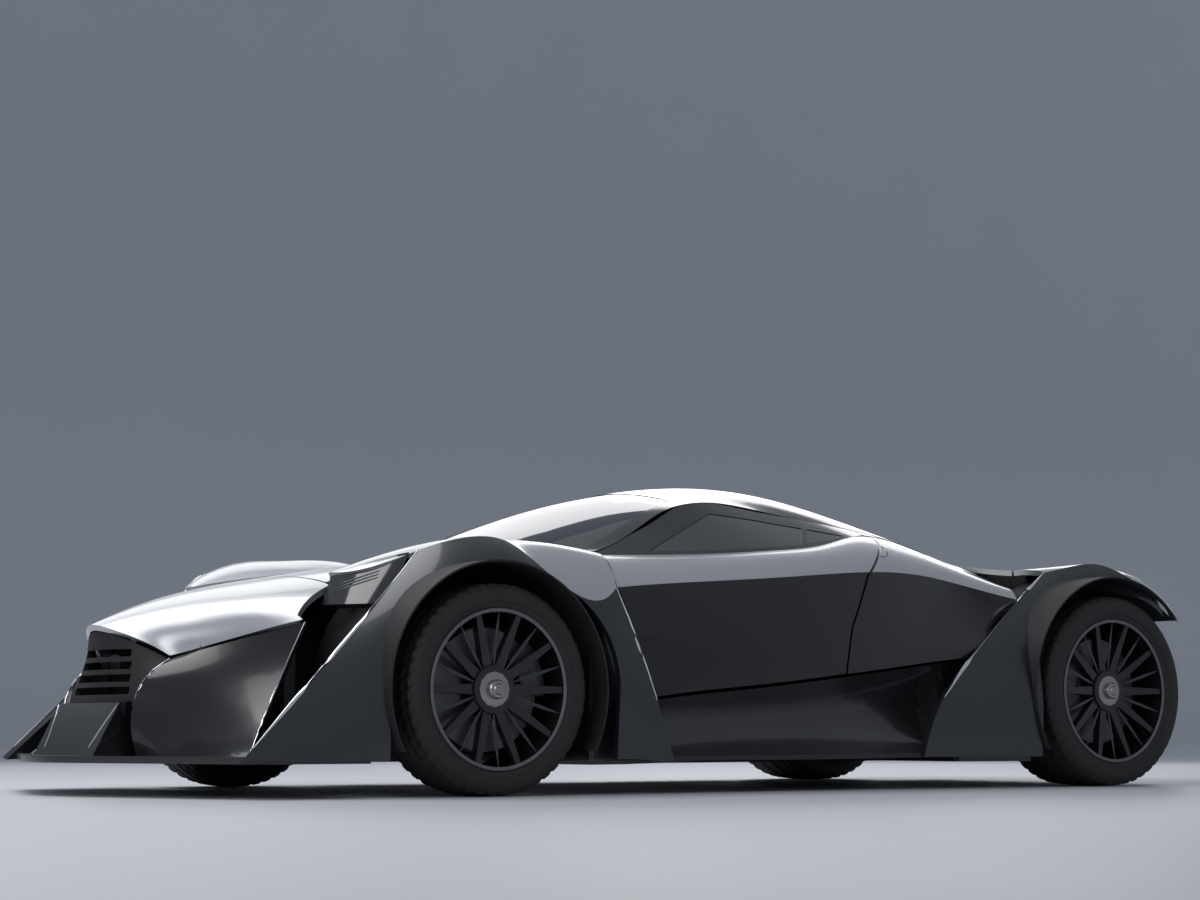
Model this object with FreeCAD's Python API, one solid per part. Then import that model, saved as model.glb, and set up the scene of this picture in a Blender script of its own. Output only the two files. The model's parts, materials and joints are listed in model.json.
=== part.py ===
import FreeCAD
import Part
from FreeCAD import Vector
import math
import os

# A two-seat mid-engined hypercar with a pointed nose, four free-standing fender blades
# and a teardrop cabin. Millimetres, +Z up, the nose towards -X, the left side at -Y,
# the origin on the ground under the middle of the overall box.

# Driving dimensions
overall_length = 4620.0
wheelbase = 2726.0
front_overhang = 1107.0
half_width = 995.0
front_tyre_radius = 332.0
rear_tyre_radius = 352.0
front_tyre_width = 245.0
rear_tyre_width = 315.0
tyre_inset = 14.0
front_rim_radius = 254.0
rear_rim_radius = 266.0
rim_wall = 12.0
spoke_count = 10
disc_radius = 195.0
disc_thickness = 32.0
disc_inset = 108.0
upright_thickness = 44.0
arm_thickness = 24.0
shaft_radius = 20.0
gearbox_half_width = 170.0
frame_outer = 350.0
hub_radius = 75.0
steer_angle = 28.0
skin = 20.0
door_thickness = 50.0
frame_depth = 28.0
strip_thickness = 8.0
glass_thickness = 6.0
shut_gap = 9.0
blade_thickness = 24.0
front_arch_gap = 58.0
rear_arch_gap = 28.0
floor_height = 95.0
floor_thickness = 45.0
tub_half_width = 690.0
inner_wall = 495.0
diffuser_half_width = 560.0
fin_count = 6
bolster = 66.0
wheel_grip_radius = 165.0
wheel_grip = 15.0
wheel_rake = 20.0
silencer_radius = 88.0
rear_inner_wall = 622.0
liner_clearance = 66.0
sill_height = 200.0
sill_width = 120.0
wall_thickness = 40.0
seat_centre = 340.0
seat_width = 480.0
roof_thickness = 26.0
ring_thickness = 22.0
cover_gap = 4.0
splitter_height = 104.0
splitter_thickness = 22.0
grille_thickness = 16.0
grille_slots = 4
lamp_height = 655.0
lamp_band = 26.0
pipe_radius = 52.0
pipe_offset = 120.0
rest_gap = 0.3
seam_gap = 0.4

nose_x = -overall_length / 2
tail_x = overall_length / 2
front_axle = nose_x + front_overhang
rear_axle = front_axle + wheelbase
middle = (front_axle + rear_axle) / 2
cover_split = middle + 600
tub_front = front_axle + 353
sill_front = front_axle + 383
tub_rear = middle + 630
king_pin_y = 820.0
stations = 17
front_wheel_y = half_width - tyre_inset - front_tyre_width / 2
rear_wheel_y = half_width - tyre_inset - rear_tyre_width / 2

pieces = {}
tools = {}


def fore(dx, y, z):
    """A point placed from the front axle."""
    return Vector(front_axle + dx, y, z)


def mid(dx, y, z):
    """A point placed from the middle of the wheelbase."""
    return Vector(middle + dx, y, z)


def aft(dx, y, z):
    """A point placed from the rear axle."""
    return Vector(rear_axle + dx, y, z)


def spline_points(points, count):
    """Even samples along the smooth curve through a few points."""
    curve = Part.BSplineCurve()
    curve.interpolate(points)
    first, last = curve.FirstParameter, curve.LastParameter
    return [curve.value(first + (last - first) * i / (count - 1)) for i in range(count)]


def band(rails, along=9, across=5):
    """A grid of points through rails that run the same way."""
    sampled = [spline_points(rail, along) for rail in rails]
    return [spline_points([rail[i] for rail in sampled], across) for i in range(along)]


def turned(grid):
    """The same grid with its two directions exchanged."""
    return [list(line) for line in zip(*grid)]


def columns_band(columns, along=9, across=5):
    """A grid through curves that run across the band, each given by a few points."""
    return turned(band(columns, across, along))


def normals(grid, inside):
    """The outward unit normal at each point of a grid, by the points beside it."""
    rows, cols = len(grid), len(grid[0])
    found = []
    for i in range(rows):
        line = []
        for j in range(cols):
            du = grid[min(i + 1, rows - 1)][j] - grid[max(i - 1, 0)][j]
            dv = grid[i][min(j + 1, cols - 1)] - grid[i][max(j - 1, 0)]
            normal = du.cross(dv)
            normal.normalize()
            line.append(normal)
        found.append(line)
    centre = grid[rows // 2][cols // 2]
    if found[rows // 2][cols // 2].dot(centre - inside) < 0:
        found = [[n * -1 for n in line] for line in found]
    return found


def surface(grid):
    made = Part.BSplineSurface()
    made.interpolate(grid)
    return made


def closed_solid(faces):
    shell = Part.makeShell(faces)
    shell.sewShape(0.01)
    solid = Part.makeSolid(Part.Shell(shell.Faces))
    if solid.Volume < 0:
        solid.reverse()
    return solid


def drawn(line, first, last):
    """A line of points drawn in at its two ends by these lengths, and spaced anew."""
    way = line[-1] - line[0]
    way.normalize()
    count = len(line) - 1
    return [p + way * (first * (count - k) / count - last * k / count)
            for k, p in enumerate(line)]


def spread(grid, gap):
    """The grid with its four edges moved outwards by a gap."""
    wide = [drawn(line, -gap, -gap) for line in grid]
    return turned([drawn(line, -gap, -gap) for line in turned(wide)])


def slabs(bands, thickness, inside, lift=0.0, seam=seam_gap):
    """One closed slab under each band of points. Bands that follow each other share a row,
    and their slabs meet there in a mitre, each drawn back from it by the seam. The inner
    skin lies the thickness further towards the inside point, and lift sinks the outer skin
    below the band."""
    fields = [normals(grid, inside) for grid in bands]
    mitres = [[] for _ in range(len(bands) - 1)]
    for k, mitre in enumerate(mitres):
        for left, right in zip(fields[k], fields[k + 1]):
            mean = left[-1] + right[0]
            mean.normalize()
            mitre.append(mean * (1 / max(0.6, mean.dot(left[-1]))))
    for k, field in enumerate(fields):
        for i, line in enumerate(field):
            lean_first = mitres[k - 1][i] - line[0] if k > 0 else Vector()
            lean_last = mitres[k][i] - line[-1] if k < len(mitres) else Vector()
            count = len(line) - 1
            field[i] = [n + lean_first * (1 - j / count) + lean_last * (j / count)
                        for j, n in enumerate(line)]
    made = []
    for k, (grid, field) in enumerate(zip(bands, fields)):
        first = seam if k > 0 else 0.0
        last = seam if k < len(bands) - 1 else 0.0
        skins = []
        for depth in (lift, lift + thickness):
            skins.append(surface([
                drawn([p - n * depth for p, n in zip(line, normal_line)], first, last)
                for line, normal_line in zip(grid, field)
            ]))
        outer, inner = skins
        u0, u1, v0, v1 = outer.bounds()
        a0, a1, b0, b1 = inner.bounds()
        edges = [
            (outer.uIso(u0), inner.uIso(a0)), (outer.uIso(u1), inner.uIso(a1)),
            (outer.vIso(v0), inner.vIso(b0)), (outer.vIso(v1), inner.vIso(b1)),
        ]
        faces = [outer.toShape(), inner.toShape()]
        faces += [Part.makeRuledSurface(a.toShape(), b.toShape()) for a, b in edges]
        made.append(closed_solid(faces))
    return made


def far_band(grid):
    """The same band on the other side of the car, running on across it."""
    return [[Vector(p.x, -p.y, p.z) for p in reversed(line)] for line in grid]


def slab(grid, thickness, inside, lift=0.0):
    return slabs([grid], thickness, inside, lift)[0]


def jacket(grid, thickness, inside, gap):
    """A slab larger than the grid's own by a gap all round, to cut what lies beside it."""
    return slab(spread(grid, gap), thickness + 2 * gap, inside, -gap)


def beyond(grid, depth, inside, way):
    """All that is on the far side of a face lying this deep under the grid."""
    field = normals(grid, inside)
    face = surface([[p - n * depth for p, n in zip(line, normal_line)]
                    for line, normal_line in zip(grid, field)]).toShape()
    return face.extrude(way)


def mirrored(shape):
    return shape.mirror(Vector(0, 0, 0), Vector(0, 1, 0))


def together(*shapes):
    return Part.makeCompound([solid for shape in shapes for solid in shape.Solids])


def pair(shape):
    return together(shape, mirrored(shape))


def box(x0, x1, y0, y1, z0, z1):
    return Part.makeBox(x1 - x0, y1 - y0, z1 - z0, Vector(x0, y0, z0))


def side_prism(outline, y0, y1):
    """A prism along Y whose outline is a list of (x, z)."""
    points = [Vector(x, y0, z) for x, z in outline]
    points.append(points[0])
    return Part.Face(Part.makePolygon(points)).extrude(Vector(0, y1 - y0, 0))


def plan_prism(outline, z0, z1):
    """A prism along Z whose outline is a list of (x, y)."""
    points = [Vector(x, y, z0) for x, y in outline]
    points.append(points[0])
    return Part.Face(Part.makePolygon(points)).extrude(Vector(0, 0, z1 - z0))


def grown(outline, distance):
    """A closed outline of (x, z) or (x, y) moved outwards by a distance."""
    wire = Part.makePolygon([Vector(a, b, 0) for a, b in outline + outline[:1]])
    offset = wire.makeOffset2D(distance, 2, False, False)
    return [(v.Point.x, v.Point.y) for v in offset.OrderedVertexes]


def cylinder_y(x, z, radius, y0, y1):
    return Part.makeCylinder(radius, y1 - y0, Vector(x, y0, z), Vector(0, 1, 0))


def revolved_y(profile, x, z):
    """A profile of (distance from the axis, y) turned about the line along Y at x, z."""
    points = [Vector(x + r, y, z) for r, y in profile]
    points.append(points[0])
    face = Part.Face(Part.makePolygon(points))
    return face.revolve(Vector(x, 0, z), Vector(0, 1, 0), 360)


def largest(shape):
    return max(shape.Solids, key=lambda s: s.Volume)


def flip(rail):
    return [Vector(p.x, -p.y, p.z) for p in rail]


def moved(rail, dx=0.0, dy=0.0, dz=0.0):
    return [p + Vector(dx, dy, dz) for p in rail]


# Rails that several panels share, all on the left side

waist_line = [
    mid(-800, -700, 788), mid(-600, -720, 795), mid(-300, -716, 812), mid(0, -700, 838),
    mid(250, -655, 872), mid(420, -590, 908), mid(540, -530, 920), mid(680, -520, 895),
    mid(800, -540, 858), mid(920, -600, 803), mid(1060, -715, 736),
]
shoulder_line = [
    mid(-895, -925, 665), mid(-600, -930, 692), mid(-300, -925, 714),
    mid(0, -905, 740), mid(220, -875, 757), mid(430, -835, 764), mid(600, -795, 757),
    mid(760, -765, 740), mid(880, -755, 720), mid(1030, -800, 688),
]
flank_crease = [
    mid(-840, -925, 300), mid(-560, -940, 333), mid(-260, -938, 360), mid(0, -928, 388),
    mid(200, -908, 410), mid(400, -880, 432), mid(560, -858, 450), mid(720, -845, 466),
    mid(880, -850, 480),
]
roof_rail = [
    mid(-800, -676, 802), mid(-655, -622, 856), mid(-470, -549, 927), mid(-215, -455, 1018),
    mid(0, -446, 1004), mid(260, -466, 974), mid(480, -496, 942), mid(640, -508, 915),
    mid(800, -520, 874), mid(1000, -490, 822), mid(1180, -440, 800),
]
blade_trail = [
    fore(462, -945, 665), fore(533, -966, 480), fore(603, -975, 303), fore(683, -962, 100),
]
door_outline = [
    (middle - 882, 672), (middle - 812, 478), (middle - 744, 313), (middle - 640, 326),
    (middle - 560, 335), (middle - 260, 362), (middle, 390), (middle + 90, 400),
    (middle + 130, 560),
    (middle + 235, 752), (middle + 500, 918), (middle + 520, 1150),
    (middle - 860, 1150), (middle - 850, 792),
]
window_outline = [
    (middle - 585, 811), (middle - 195, 968), (middle, 955), (middle + 206, 932),
    (middle + 112, 864), (middle, 850), (middle - 300, 824),
]
quarter_light_outline = [
    (middle + 228, 929), (middle + 372, 910), (middle + 260, 886), (middle + 138, 868),
]


def build_bonnet():
    """The silver nose: a crowned shell from the pointed leading edge to the cowl, parted
    at the bonnet's shut line."""
    centre = [fore(-937, 0, 542), fore(-787, 0, 602), fore(-587, 0, 662),
              fore(-337, 0, 712), fore(-37, 0, 762), fore(243, 0, 812)]
    ridge = [fore(-892, -140, 512), fore(-737, -225, 583), fore(-567, -310, 645),
             fore(-337, -350, 697), fore(-37, -390, 746), fore(283, -380, 802)]
    slope = [fore(-847, -212, 482), fore(-687, -360, 548), fore(-537, -500, 612),
             fore(-337, -565, 652), fore(-57, -585, 712), fore(323, -590, 785)]
    edge = [fore(-791, -270, 440), fore(-637, -460, 500), fore(-507, -630, 550),
            fore(-337, -700, 590), fore(-87, -720, 650), fore(363, -720, 750)]
    rails = [edge, slope, ridge, centre, flip(ridge), flip(slope), flip(edge)]
    whole = slab(band(rails, 13, 13), skin, fore(-300, 0, 300))
    shut_x = front_axle - 350
    left = [(front_axle - 505, -1000), (front_axle - 505, -655),
            (front_axle - 518, -602), (shut_x, -505)]
    right = [(x, -y) for x, y in reversed(left)]
    lid = [(nose_x - 50, -1000)] + left + right + [(nose_x - 50, 1000)]
    pieces["bonnet"] = whole.common(plan_prism(lid, 100, 1100))
    left = [(shut_x + shut_gap, -462), (front_axle + 150, -446),
            (front_axle + 270, -462), (front_axle + 330, -500)]
    right = [(x, -y) for x, y in reversed(left)]
    pieces["cowl"] = whole.common(plan_prism(left + right, 100, 1100))


def build_front_fender():
    """A silver top that flows into the windscreen base, and a dark outer blade cut by the
    wheel arch."""
    inner = [fore(-341, -482, 706), fore(-217, -468, 730), fore(-37, -450, 756),
             fore(143, -446, 782), fore(283, -470, 797), fore(413, -565, 796),
             fore(543, -672, 790)]
    crest = [fore(-342, -500, 708), fore(-207, -620, 766), fore(-47, -680, 811),
             fore(113, -710, 823), fore(223, -760, 808), fore(363, -820, 785),
             fore(505, -800, 780)]
    outer = [fore(-343, -520, 706), fore(-167, -740, 770), fore(-37, -775, 812),
             fore(113, -800, 815), fore(193, -900, 728), fore(343, -968, 620),
             fore(462, -945, 665)]
    columns = [
        [fore(-167, -740, 770), fore(-407, -820, 545), fore(-637, -865, 326),
         fore(-860, -900, 112)],
        [fore(-37, -775, 812), fore(-137, -925, 620), fore(-257, -970, 380),
         fore(-437, -955, 112)],
        [fore(113, -800, 815), fore(93, -955, 650), fore(33, -992, 400),
         fore(-37, -975, 112)],
        [fore(193, -900, 728), fore(233, -970, 600), fore(263, -992, 380),
         fore(263, -975, 112)],
        [fore(343, -968, 620), fore(403, -990, 470), fore(463, -985, 300),
         fore(513, -970, 112)],
        blade_trail,
    ]
    reach = front_tyre_radius + front_arch_gap
    arch = Part.makeCylinder(1.0, 600, Vector(0, -1300, 0), Vector(0, 1, 0))
    matrix = FreeCAD.Matrix()
    matrix.scale(reach + 28, 1.0, reach)
    matrix.move(Vector(front_axle + 30, 0, front_tyre_radius))
    arch = arch.transformGeometry(matrix)
    below = box(front_axle - reach + 2, front_axle + reach + 58, -1300, -700,
                -10, front_tyre_radius)
    crown = band([inner, crest, outer], 19, 7)
    top = slab(crown, skin, fore(0, -600, 300))
    beside = jacket(crown, skin, fore(0, -600, 300), seam_gap)
    blade = slab(columns_band(columns, 15, 11), blade_thickness, fore(0, -500, 350))
    blade = blade.cut(beside).cut(arch).cut(below)
    pieces["cowl"] = trimmed(pieces["cowl"], pair(beside))
    pieces["front_fender_tops"] = pair(largest(top.cut(arch)))
    pieces["front_blades"] = pair(Part.makeCompound(
        [s for s in blade.Solids if s.Volume > 1e5]
    ))


def cabin_bands():
    """The cabin's section from the left flank up over the roof, as bands whose shared rows
    are the same points: flank, waist, window and canopy."""
    top, low = spline_points(waist_line, 9), spline_points(shoulder_line, 9)
    crease = spline_points(flank_crease, 9)
    swell = [
        (a + b) / 2 + Vector(0, -0.08, 0.06) * (a - b).Length for a, b in zip(top, low)
    ]
    upper = spline_points(moved(shoulder_line, 0, -14, -130), 9)
    lower = [a * 0.45 + b * 0.55 for a, b in zip(upper, crease)]
    centre = [mid(-1120, 0, 816), mid(-897, 0, 894), mid(-640, 0, 985), mid(-330, 0, 1062),
              mid(0, 0, 1104), mid(330, 0, 1094), mid(640, 0, 1030), mid(940, 0, 945),
              mid(1204, 0, 884)]
    halfway = [mid(-1030, -390, 806), mid(-840, -355, 880), mid(-600, -320, 958),
               mid(-300, -258, 1040), mid(0, -240, 1076), mid(320, -250, 1058),
               mid(600, -262, 1000), mid(880, -270, 926), mid(1190, -260, 856)]
    edge = spline_points(roof_rail, 9)
    return {
        "flank": band([crease, lower, upper, low], stations, 7),
        "waist": band([low, swell, top], stations, 5),
        "window": band([waist_line, roof_rail], stations, 5),
        "canopy": band([edge, halfway, centre, flip(halfway), flip(edge)], stations, 13),
    }


def narrowed(grid, gap):
    """The grid with its last row drawn back by a gap, for a shut line along that row."""
    drawn = []
    for line in grid:
        start, end = line[0], line[-1]
        end = end + (start - end) * (gap / (start - end).Length)
        drawn.append([start + (end - start) * k / (len(line) - 1) for k in range(len(line))])
    return drawn


def build_cabin():
    """The canopy with its windscreen, the doors in their three bands with glass, and the
    fixed panels and door rings round them."""
    bands = cabin_bands()
    inside = mid(0, 0, 450)
    chain = [bands["flank"], bands["waist"], bands["window"], bands["canopy"]]
    fixed_flank, fixed_waist = slabs(chain, skin, inside)[:2]
    strip = slabs(chain[1:], strip_thickness, inside)[1]
    beside = slabs(chain[1:], roof_thickness, inside, -1.0, -0.7)
    strip = strip.cut(beside[0]).cut(beside[2])
    over = [bands["window"], bands["canopy"], far_band(bands["window"])]
    canopy = slabs(over, roof_thickness, inside)[1]
    pane = slab(bands["canopy"], glass_thickness, inside, 2.0)
    left = [(middle - 1300, -640), (middle - 790, -618), (middle - 640, -560),
            (middle - 440, -470), (middle - 280, -400), (middle - 262, -330),
            (middle - 300, 0)]
    right = [(x, -y) for x, y in reversed(left[:-1])]
    screen = plan_prism(left + right, 700, 1200)
    pieces["windscreen"] = largest(pane.common(screen))
    canopy = canopy.cut(screen)
    pieces["roof"] = largest(canopy.common(
        box(nose_x, cover_split - cover_gap / 2, -900, 900, 600, 1300)))
    pieces["engine_cover"] = largest(canopy.common(
        box(cover_split + cover_gap / 2, tail_x, -900, 900, 600, 1300)))

    cutter = side_prism(door_outline, -1300, -300)
    shut = side_prism(grown(door_outline, shut_gap), -1300, -300)
    holes = together(side_prism(window_outline, -1300, -300),
                     side_prism(quarter_light_outline, -1300, -300))
    door_window = narrowed(bands["window"], shut_gap)
    side = [bands["flank"], bands["waist"], door_window]
    flank, waist = slabs(side, door_thickness, inside)[:2]
    window = slabs(side, frame_depth, inside)[2]
    window = window.cut(slabs(side, door_thickness + 2, inside, -1.0, -0.7)[1])
    light = slab(door_window, glass_thickness, inside, 2.0)
    near_roof = slabs(over, roof_thickness + 8, inside, -2.0, -7.0)[1]
    frame = largest(window.common(cutter).cut(holes).cut(near_roof))
    pieces["door_left"] = together(largest(flank.common(cutter)), frame)
    pieces["door_left_waist"] = largest(waist.common(cutter))
    pieces["door_left_glass"] = light.common(holes)

    strip = largest(strip.cut(shut))
    pieces["quarter_panels"] = pair(largest(fixed_waist.cut(shut)))
    rear = box(middle, tail_x, -1300, 0, 0, 1300)
    flank_rear = largest(fixed_flank.cut(shut).common(rear))
    pieces["rear_flanks"] = together(flank_rear, strip)

    ring_outer = side_prism(grown(door_outline, shut_gap + 40), -1300, -300)
    ring_inner = side_prism(grown(door_outline, -45), -1300, -300)
    depth = door_thickness + 0.7
    ring = []
    for flange in slabs(side, ring_thickness, inside, depth, -0.1)[:2]:
        ring.append(flange.common(ring_outer).cut(ring_inner))
    for web in slabs(chain, depth - skin + 2, inside, skin + 0.2, -0.1)[:2]:
        ring.append(web.common(ring_outer).cut(shut).common(rear))
    flange, web = ring[0].fuse(ring[1]), ring[2].fuse(ring[3])
    pieces["door_rings"] = pair(largest(flange.fuse(web)))
    for name in ("door_left", "door_left_waist", "door_left_glass"):
        pieces[name.replace("left", "right")] = mirrored(pieces[name])


def build_rear():
    """Rear fender tops, blades, deck lid and tail."""
    deck_centre = [aft(-150, 0, 872), aft(137, 0, 828), aft(437, 0, 788), aft(745, 0, 745)]
    deck_half = [aft(-150, -300, 846), aft(137, -300, 812), aft(437, -300, 779),
                 aft(730, -300, 742)]
    deck_edge = [aft(-150, -590, 812), aft(137, -600, 806), aft(397, -590, 783),
                 aft(640, -540, 745)]
    rails = [deck_edge, deck_half, deck_centre, flip(deck_half), flip(deck_edge)]
    deck = band(rails, 9, 11)
    pieces["deck_lid"] = slab(deck, skin, aft(200, 0, 300))
    tools["over_deck"] = beyond(spread(deck, 1.0), skin + 2 * rest_gap, aft(200, 0, 300),
                                Vector(0, 0, 400))

    inner = [aft(-150, -600, 812), aft(0, -608, 812), aft(137, -610, 806),
             aft(270, -608, 795), aft(397, -600, 783), aft(470, -592, 765)]
    crest = [aft(-138, -670, 812), aft(10, -715, 828), aft(137, -745, 828),
             aft(260, -770, 808), aft(380, -780, 760), aft(452, -770, 690)]
    outer = [aft(-123, -735, 800), aft(-23, -790, 825), aft(67, -830, 832),
             aft(137, -900, 790), aft(222, -962, 716), aft(407, -945, 610)]
    columns = [
        [aft(-123, -735, 800), aft(-323, -800, 686), aft(-677, -920, 467),
         aft(-847, -955, 322), aft(-943, -955, 112)],
        [aft(-23, -790, 825), aft(-143, -895, 660), aft(-273, -965, 440),
         aft(-383, -975, 280), aft(-413, -965, 112)],
        [aft(67, -830, 832), aft(37, -940, 690), aft(7, -990, 500),
         aft(-3, -992, 300), aft(-13, -980, 112)],
        [aft(137, -900, 790), aft(157, -970, 670), aft(187, -992, 500),
         aft(207, -992, 300), aft(217, -980, 112)],
        [aft(222, -962, 716), aft(267, -985, 600), aft(297, -990, 450),
         aft(317, -990, 300), aft(327, -980, 112)],
    ]
    reach = rear_tyre_radius + rear_arch_gap
    arch = cylinder_y(rear_axle, rear_tyre_radius, reach, -1300, -700)
    below = box(rear_axle - reach, tail_x, -1300, -700, -10, rear_tyre_radius)
    crown = band([inner, crest, outer], 13, 7)
    top = slab(crown, skin, aft(0, -600, 300))
    beside = jacket(crown, skin, aft(0, -600, 300), seam_gap)
    side = columns_band(columns, 13, 11)
    blade = slab(side, blade_thickness, aft(0, -500, 350))
    blade = largest(blade.cut(beside).cut(arch).cut(below))
    beside = jacket(side, blade_thickness, aft(0, -500, 350), seam_gap)
    pieces["rear_fender_tops"] = pair(largest(top.cut(arch)))
    pieces["rear_blades"] = pair(blade)
    flank, strip = pieces["rear_flanks"].Solids
    pieces["rear_flanks"] = pair(together(largest(flank.cut(beside)), strip))


def build_wheels():
    """Tyres, spoked rims with discs and half shafts, and the uprights that carry them."""
    sizes = {
        "front": (front_axle, front_wheel_y, front_tyre_radius, front_tyre_width,
                  front_rim_radius),
        "rear": (rear_axle, rear_wheel_y, rear_tyre_radius, rear_tyre_width,
                 rear_rim_radius),
    }
    for end, (x, y, radius, width, rim) in sizes.items():
        half = width / 2
        shoulder = 26.0
        bead = rim + rest_gap
        profile = [
            (bead, -half + 14), (rim + 30, -half), (radius - shoulder - 6, -half),
            (radius - 9, -half + 12), (radius, -half + shoulder),
            (radius, half - shoulder), (radius - 9, half - 12),
            (radius - shoulder - 6, half), (rim + 30, half), (bead, half - 14),
        ]
        tyre = revolved_y(profile, x, radius)
        inner = rim - rim_wall
        barrel = revolved_y(
            [(rim, -half + 14), (rim, half - 14), (inner, half - 14), (inner, -half + 14)],
            x, radius)
        disc_face = -half + disc_inset
        hub = cylinder_y(x, radius, hub_radius, -half + 44, disc_face)
        disc = cylinder_y(x, radius, disc_radius, disc_face, disc_face + disc_thickness)
        spokes = []
        for i in range(spoke_count):
            outline = [
                Vector(x + hub_radius - 12, -half + 52, radius - 17),
                Vector(x + rim - 5, -half + 20, radius - 9),
                Vector(x + rim - 5, -half + 20, radius + 9),
                Vector(x + hub_radius - 12, -half + 52, radius + 17),
            ]
            face = Part.Face(Part.makePolygon(outline + outline[:1]))
            spoke = face.extrude(Vector(0, 30, 0))
            spoke.rotate(Vector(x, 0, radius), Vector(0, 1, 0), 360.0 * i / spoke_count)
            spokes.append(spoke)
        wheel = barrel.fuse([hub, disc] + spokes)
        carrier_face = y - disc_face - disc_thickness
        if end == "rear":
            shaft = cylinder_y(x, radius, shaft_radius, disc_face,
                               y - gearbox_half_width - rest_gap)
            wheel = wheel.fuse(shaft)
        upright = box(x - 45, x + 45, -carrier_face + rest_gap,
                      -carrier_face + upright_thickness, radius - 120, radius + 120)
        upright = upright.cut(cylinder_y(x, radius, shaft_radius + 6, -y - 200, 0))
        if end == "front":
            pieces["knuckle_left"] = upright
            pieces["knuckle_right"] = mirrored(upright)
        else:
            rear_arms = arms(rear_axle, rear_tyre_radius, -king_pin_y, 0.0)
            pieces["rear_suspension"] = pair(upright.fuse(rear_arms.Solids))
        for side, sign in (("left", -1), ("right", 1)):
            for name, solid in (("tyre", tyre), ("rim", wheel)):
                placed = solid.copy() if sign < 0 else mirrored(solid)
                placed.translate(Vector(0, sign * y, 0))
                pieces[name + "_" + end + "_" + side] = placed


def arms(axle_x, radius, ball_y, gap):
    """Lower and upper wishbones of one left wheel, from the frame plate to the upright."""
    made = []
    for z0, z1 in ((radius - 120 - gap - arm_thickness, radius - 120 - gap),
                   (radius + 120 + gap, radius + 120 + gap + arm_thickness)):
        outline = [
            (axle_x - 150, -frame_outer), (axle_x - 105, -frame_outer),
            (axle_x, ball_y + 60), (axle_x + 105, -frame_outer),
            (axle_x + 150, -frame_outer), (axle_x + 26, ball_y + 2),
            (axle_x - 26, ball_y + 2),
        ]
        made.append(plan_prism(outline, z0, z1))
    return Part.makeCompound(made)


def build_nose():
    """The splitter, the cheeks beside the nose, the grille between them and the chin."""
    half = [Vector(nose_x, 0, 0), fore(-1060, -250, 0), fore(-957, -520, 0),
            fore(-847, -780, 0), fore(-727, -915, 0)]
    edge = Part.BSplineCurve()
    edge.interpolate(list(reversed(flip(half)))[:-1] + half)
    wheel_x = front_axle - 430
    outline = [half[-1], Vector(wheel_x, -915, 0), Vector(wheel_x, -inner_wall, 0),
               Vector(tub_front, -inner_wall, 0), Vector(tub_front, inner_wall, 0),
               Vector(wheel_x, inner_wall, 0), Vector(wheel_x, 915, 0), flip(half)[-1]]
    wire = Part.Wire(Part.__sortEdges__(
        [edge.toShape()] + Part.makePolygon(outline).Edges))
    plate = Part.Face(wire).extrude(Vector(0, 0, splitter_thickness))
    splitter = plate.translated(Vector(0, 0, splitter_height))
    pieces["splitter"] = splitter
    pieces["front_blades"] = trimmed(pieces["front_blades"], splitter)

    lid = seat_tool("bonnet")
    top = [fore(-791, -270, 430), fore(-637, -460, 490), fore(-507, -630, 540)]
    half = [fore(-897, -270, 330), fore(-737, -480, 330), fore(-622, -662, 330)]
    low = [fore(-897, -270, 118), fore(-837, -520, 118), fore(-797, -822, 118)]
    cheek = slab(band([low, half, top], 7, 7), skin, fore(0, 0, 300))
    cheek = largest(trimmed(cheek, lid, splitter))
    pieces["cheeks"] = pair(cheek)

    top = [fore(-791, -268, 428), fore(-840, -212, 462), fore(-922, 0, 520)]
    half = [fore(-862, -268, 370), fore(-880, -212, 380), fore(-915, 0, 410)]
    low = [fore(-892, -268, 285), fore(-905, -212, 280), fore(-930, 0, 278)]
    rails = [rail + list(reversed(flip(rail)))[1:] for rail in (low, half, top)]
    grille = slab(band(rails, 13, 7), grille_thickness, fore(0, 0, 350))
    slots = []
    for k in range(grille_slots):
        z = 318 + k * 40
        slots.append(box(nose_x, front_axle, -205 + k * 12, 205 - k * 12, z, z + 24))
    pieces["grille"] = largest(trimmed(grille.cut(slots), lid, pieces["cheeks"]))

    profile = [fore(-1028, 0, 126), fore(-942, 0, 292), fore(-872, 0, 300),
               fore(-872, 0, 126)]
    face = Part.Face(Part.makePolygon(profile + profile[:1]))
    chin = face.extrude(Vector(0, 460, 0)).translated(Vector(0, -230, 0))
    pieces["chin"] = largest(trimmed(chin, pieces["grille"], pieces["cheeks"]))

    top = [fore(-345, -505, 694), fore(-262, -640, 742), fore(-190, -728, 765)]
    low = [fore(-400, -540, 600), fore(-350, -660, 600), fore(-280, -760, 600)]
    lamp = slab(band([low, top], 7, 5), 25.0, fore(200, -600, 600))
    lamp = trimmed(lamp, pieces["front_fender_tops"], pieces["front_blades"])
    pieces["headlamps"] = pair(largest(lamp))


def seat_tool(name):
    """A lid's solid, let down by the rest gap, to cut what the lid lies on."""
    return pieces[name].translated(Vector(0, 0, -rest_gap))


def trimmed(block, *tools):
    """The block without what the tools' solids take from it, one after the other."""
    for tool in tools:
        for solid in tool.Solids:
            if solid.BoundBox.intersect(block.BoundBox):
                block = block.cut(solid)
    return block


def lowest(shape):
    return min(shape.Solids, key=lambda s: s.BoundBox.ZMin)


def post(x0, x1, y0, y1, z0, tool):
    """A block from z0 up to the underside of the tool."""
    return lowest(trimmed(box(x0, x1, y0, y1, z0, 1200), tool))


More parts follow.
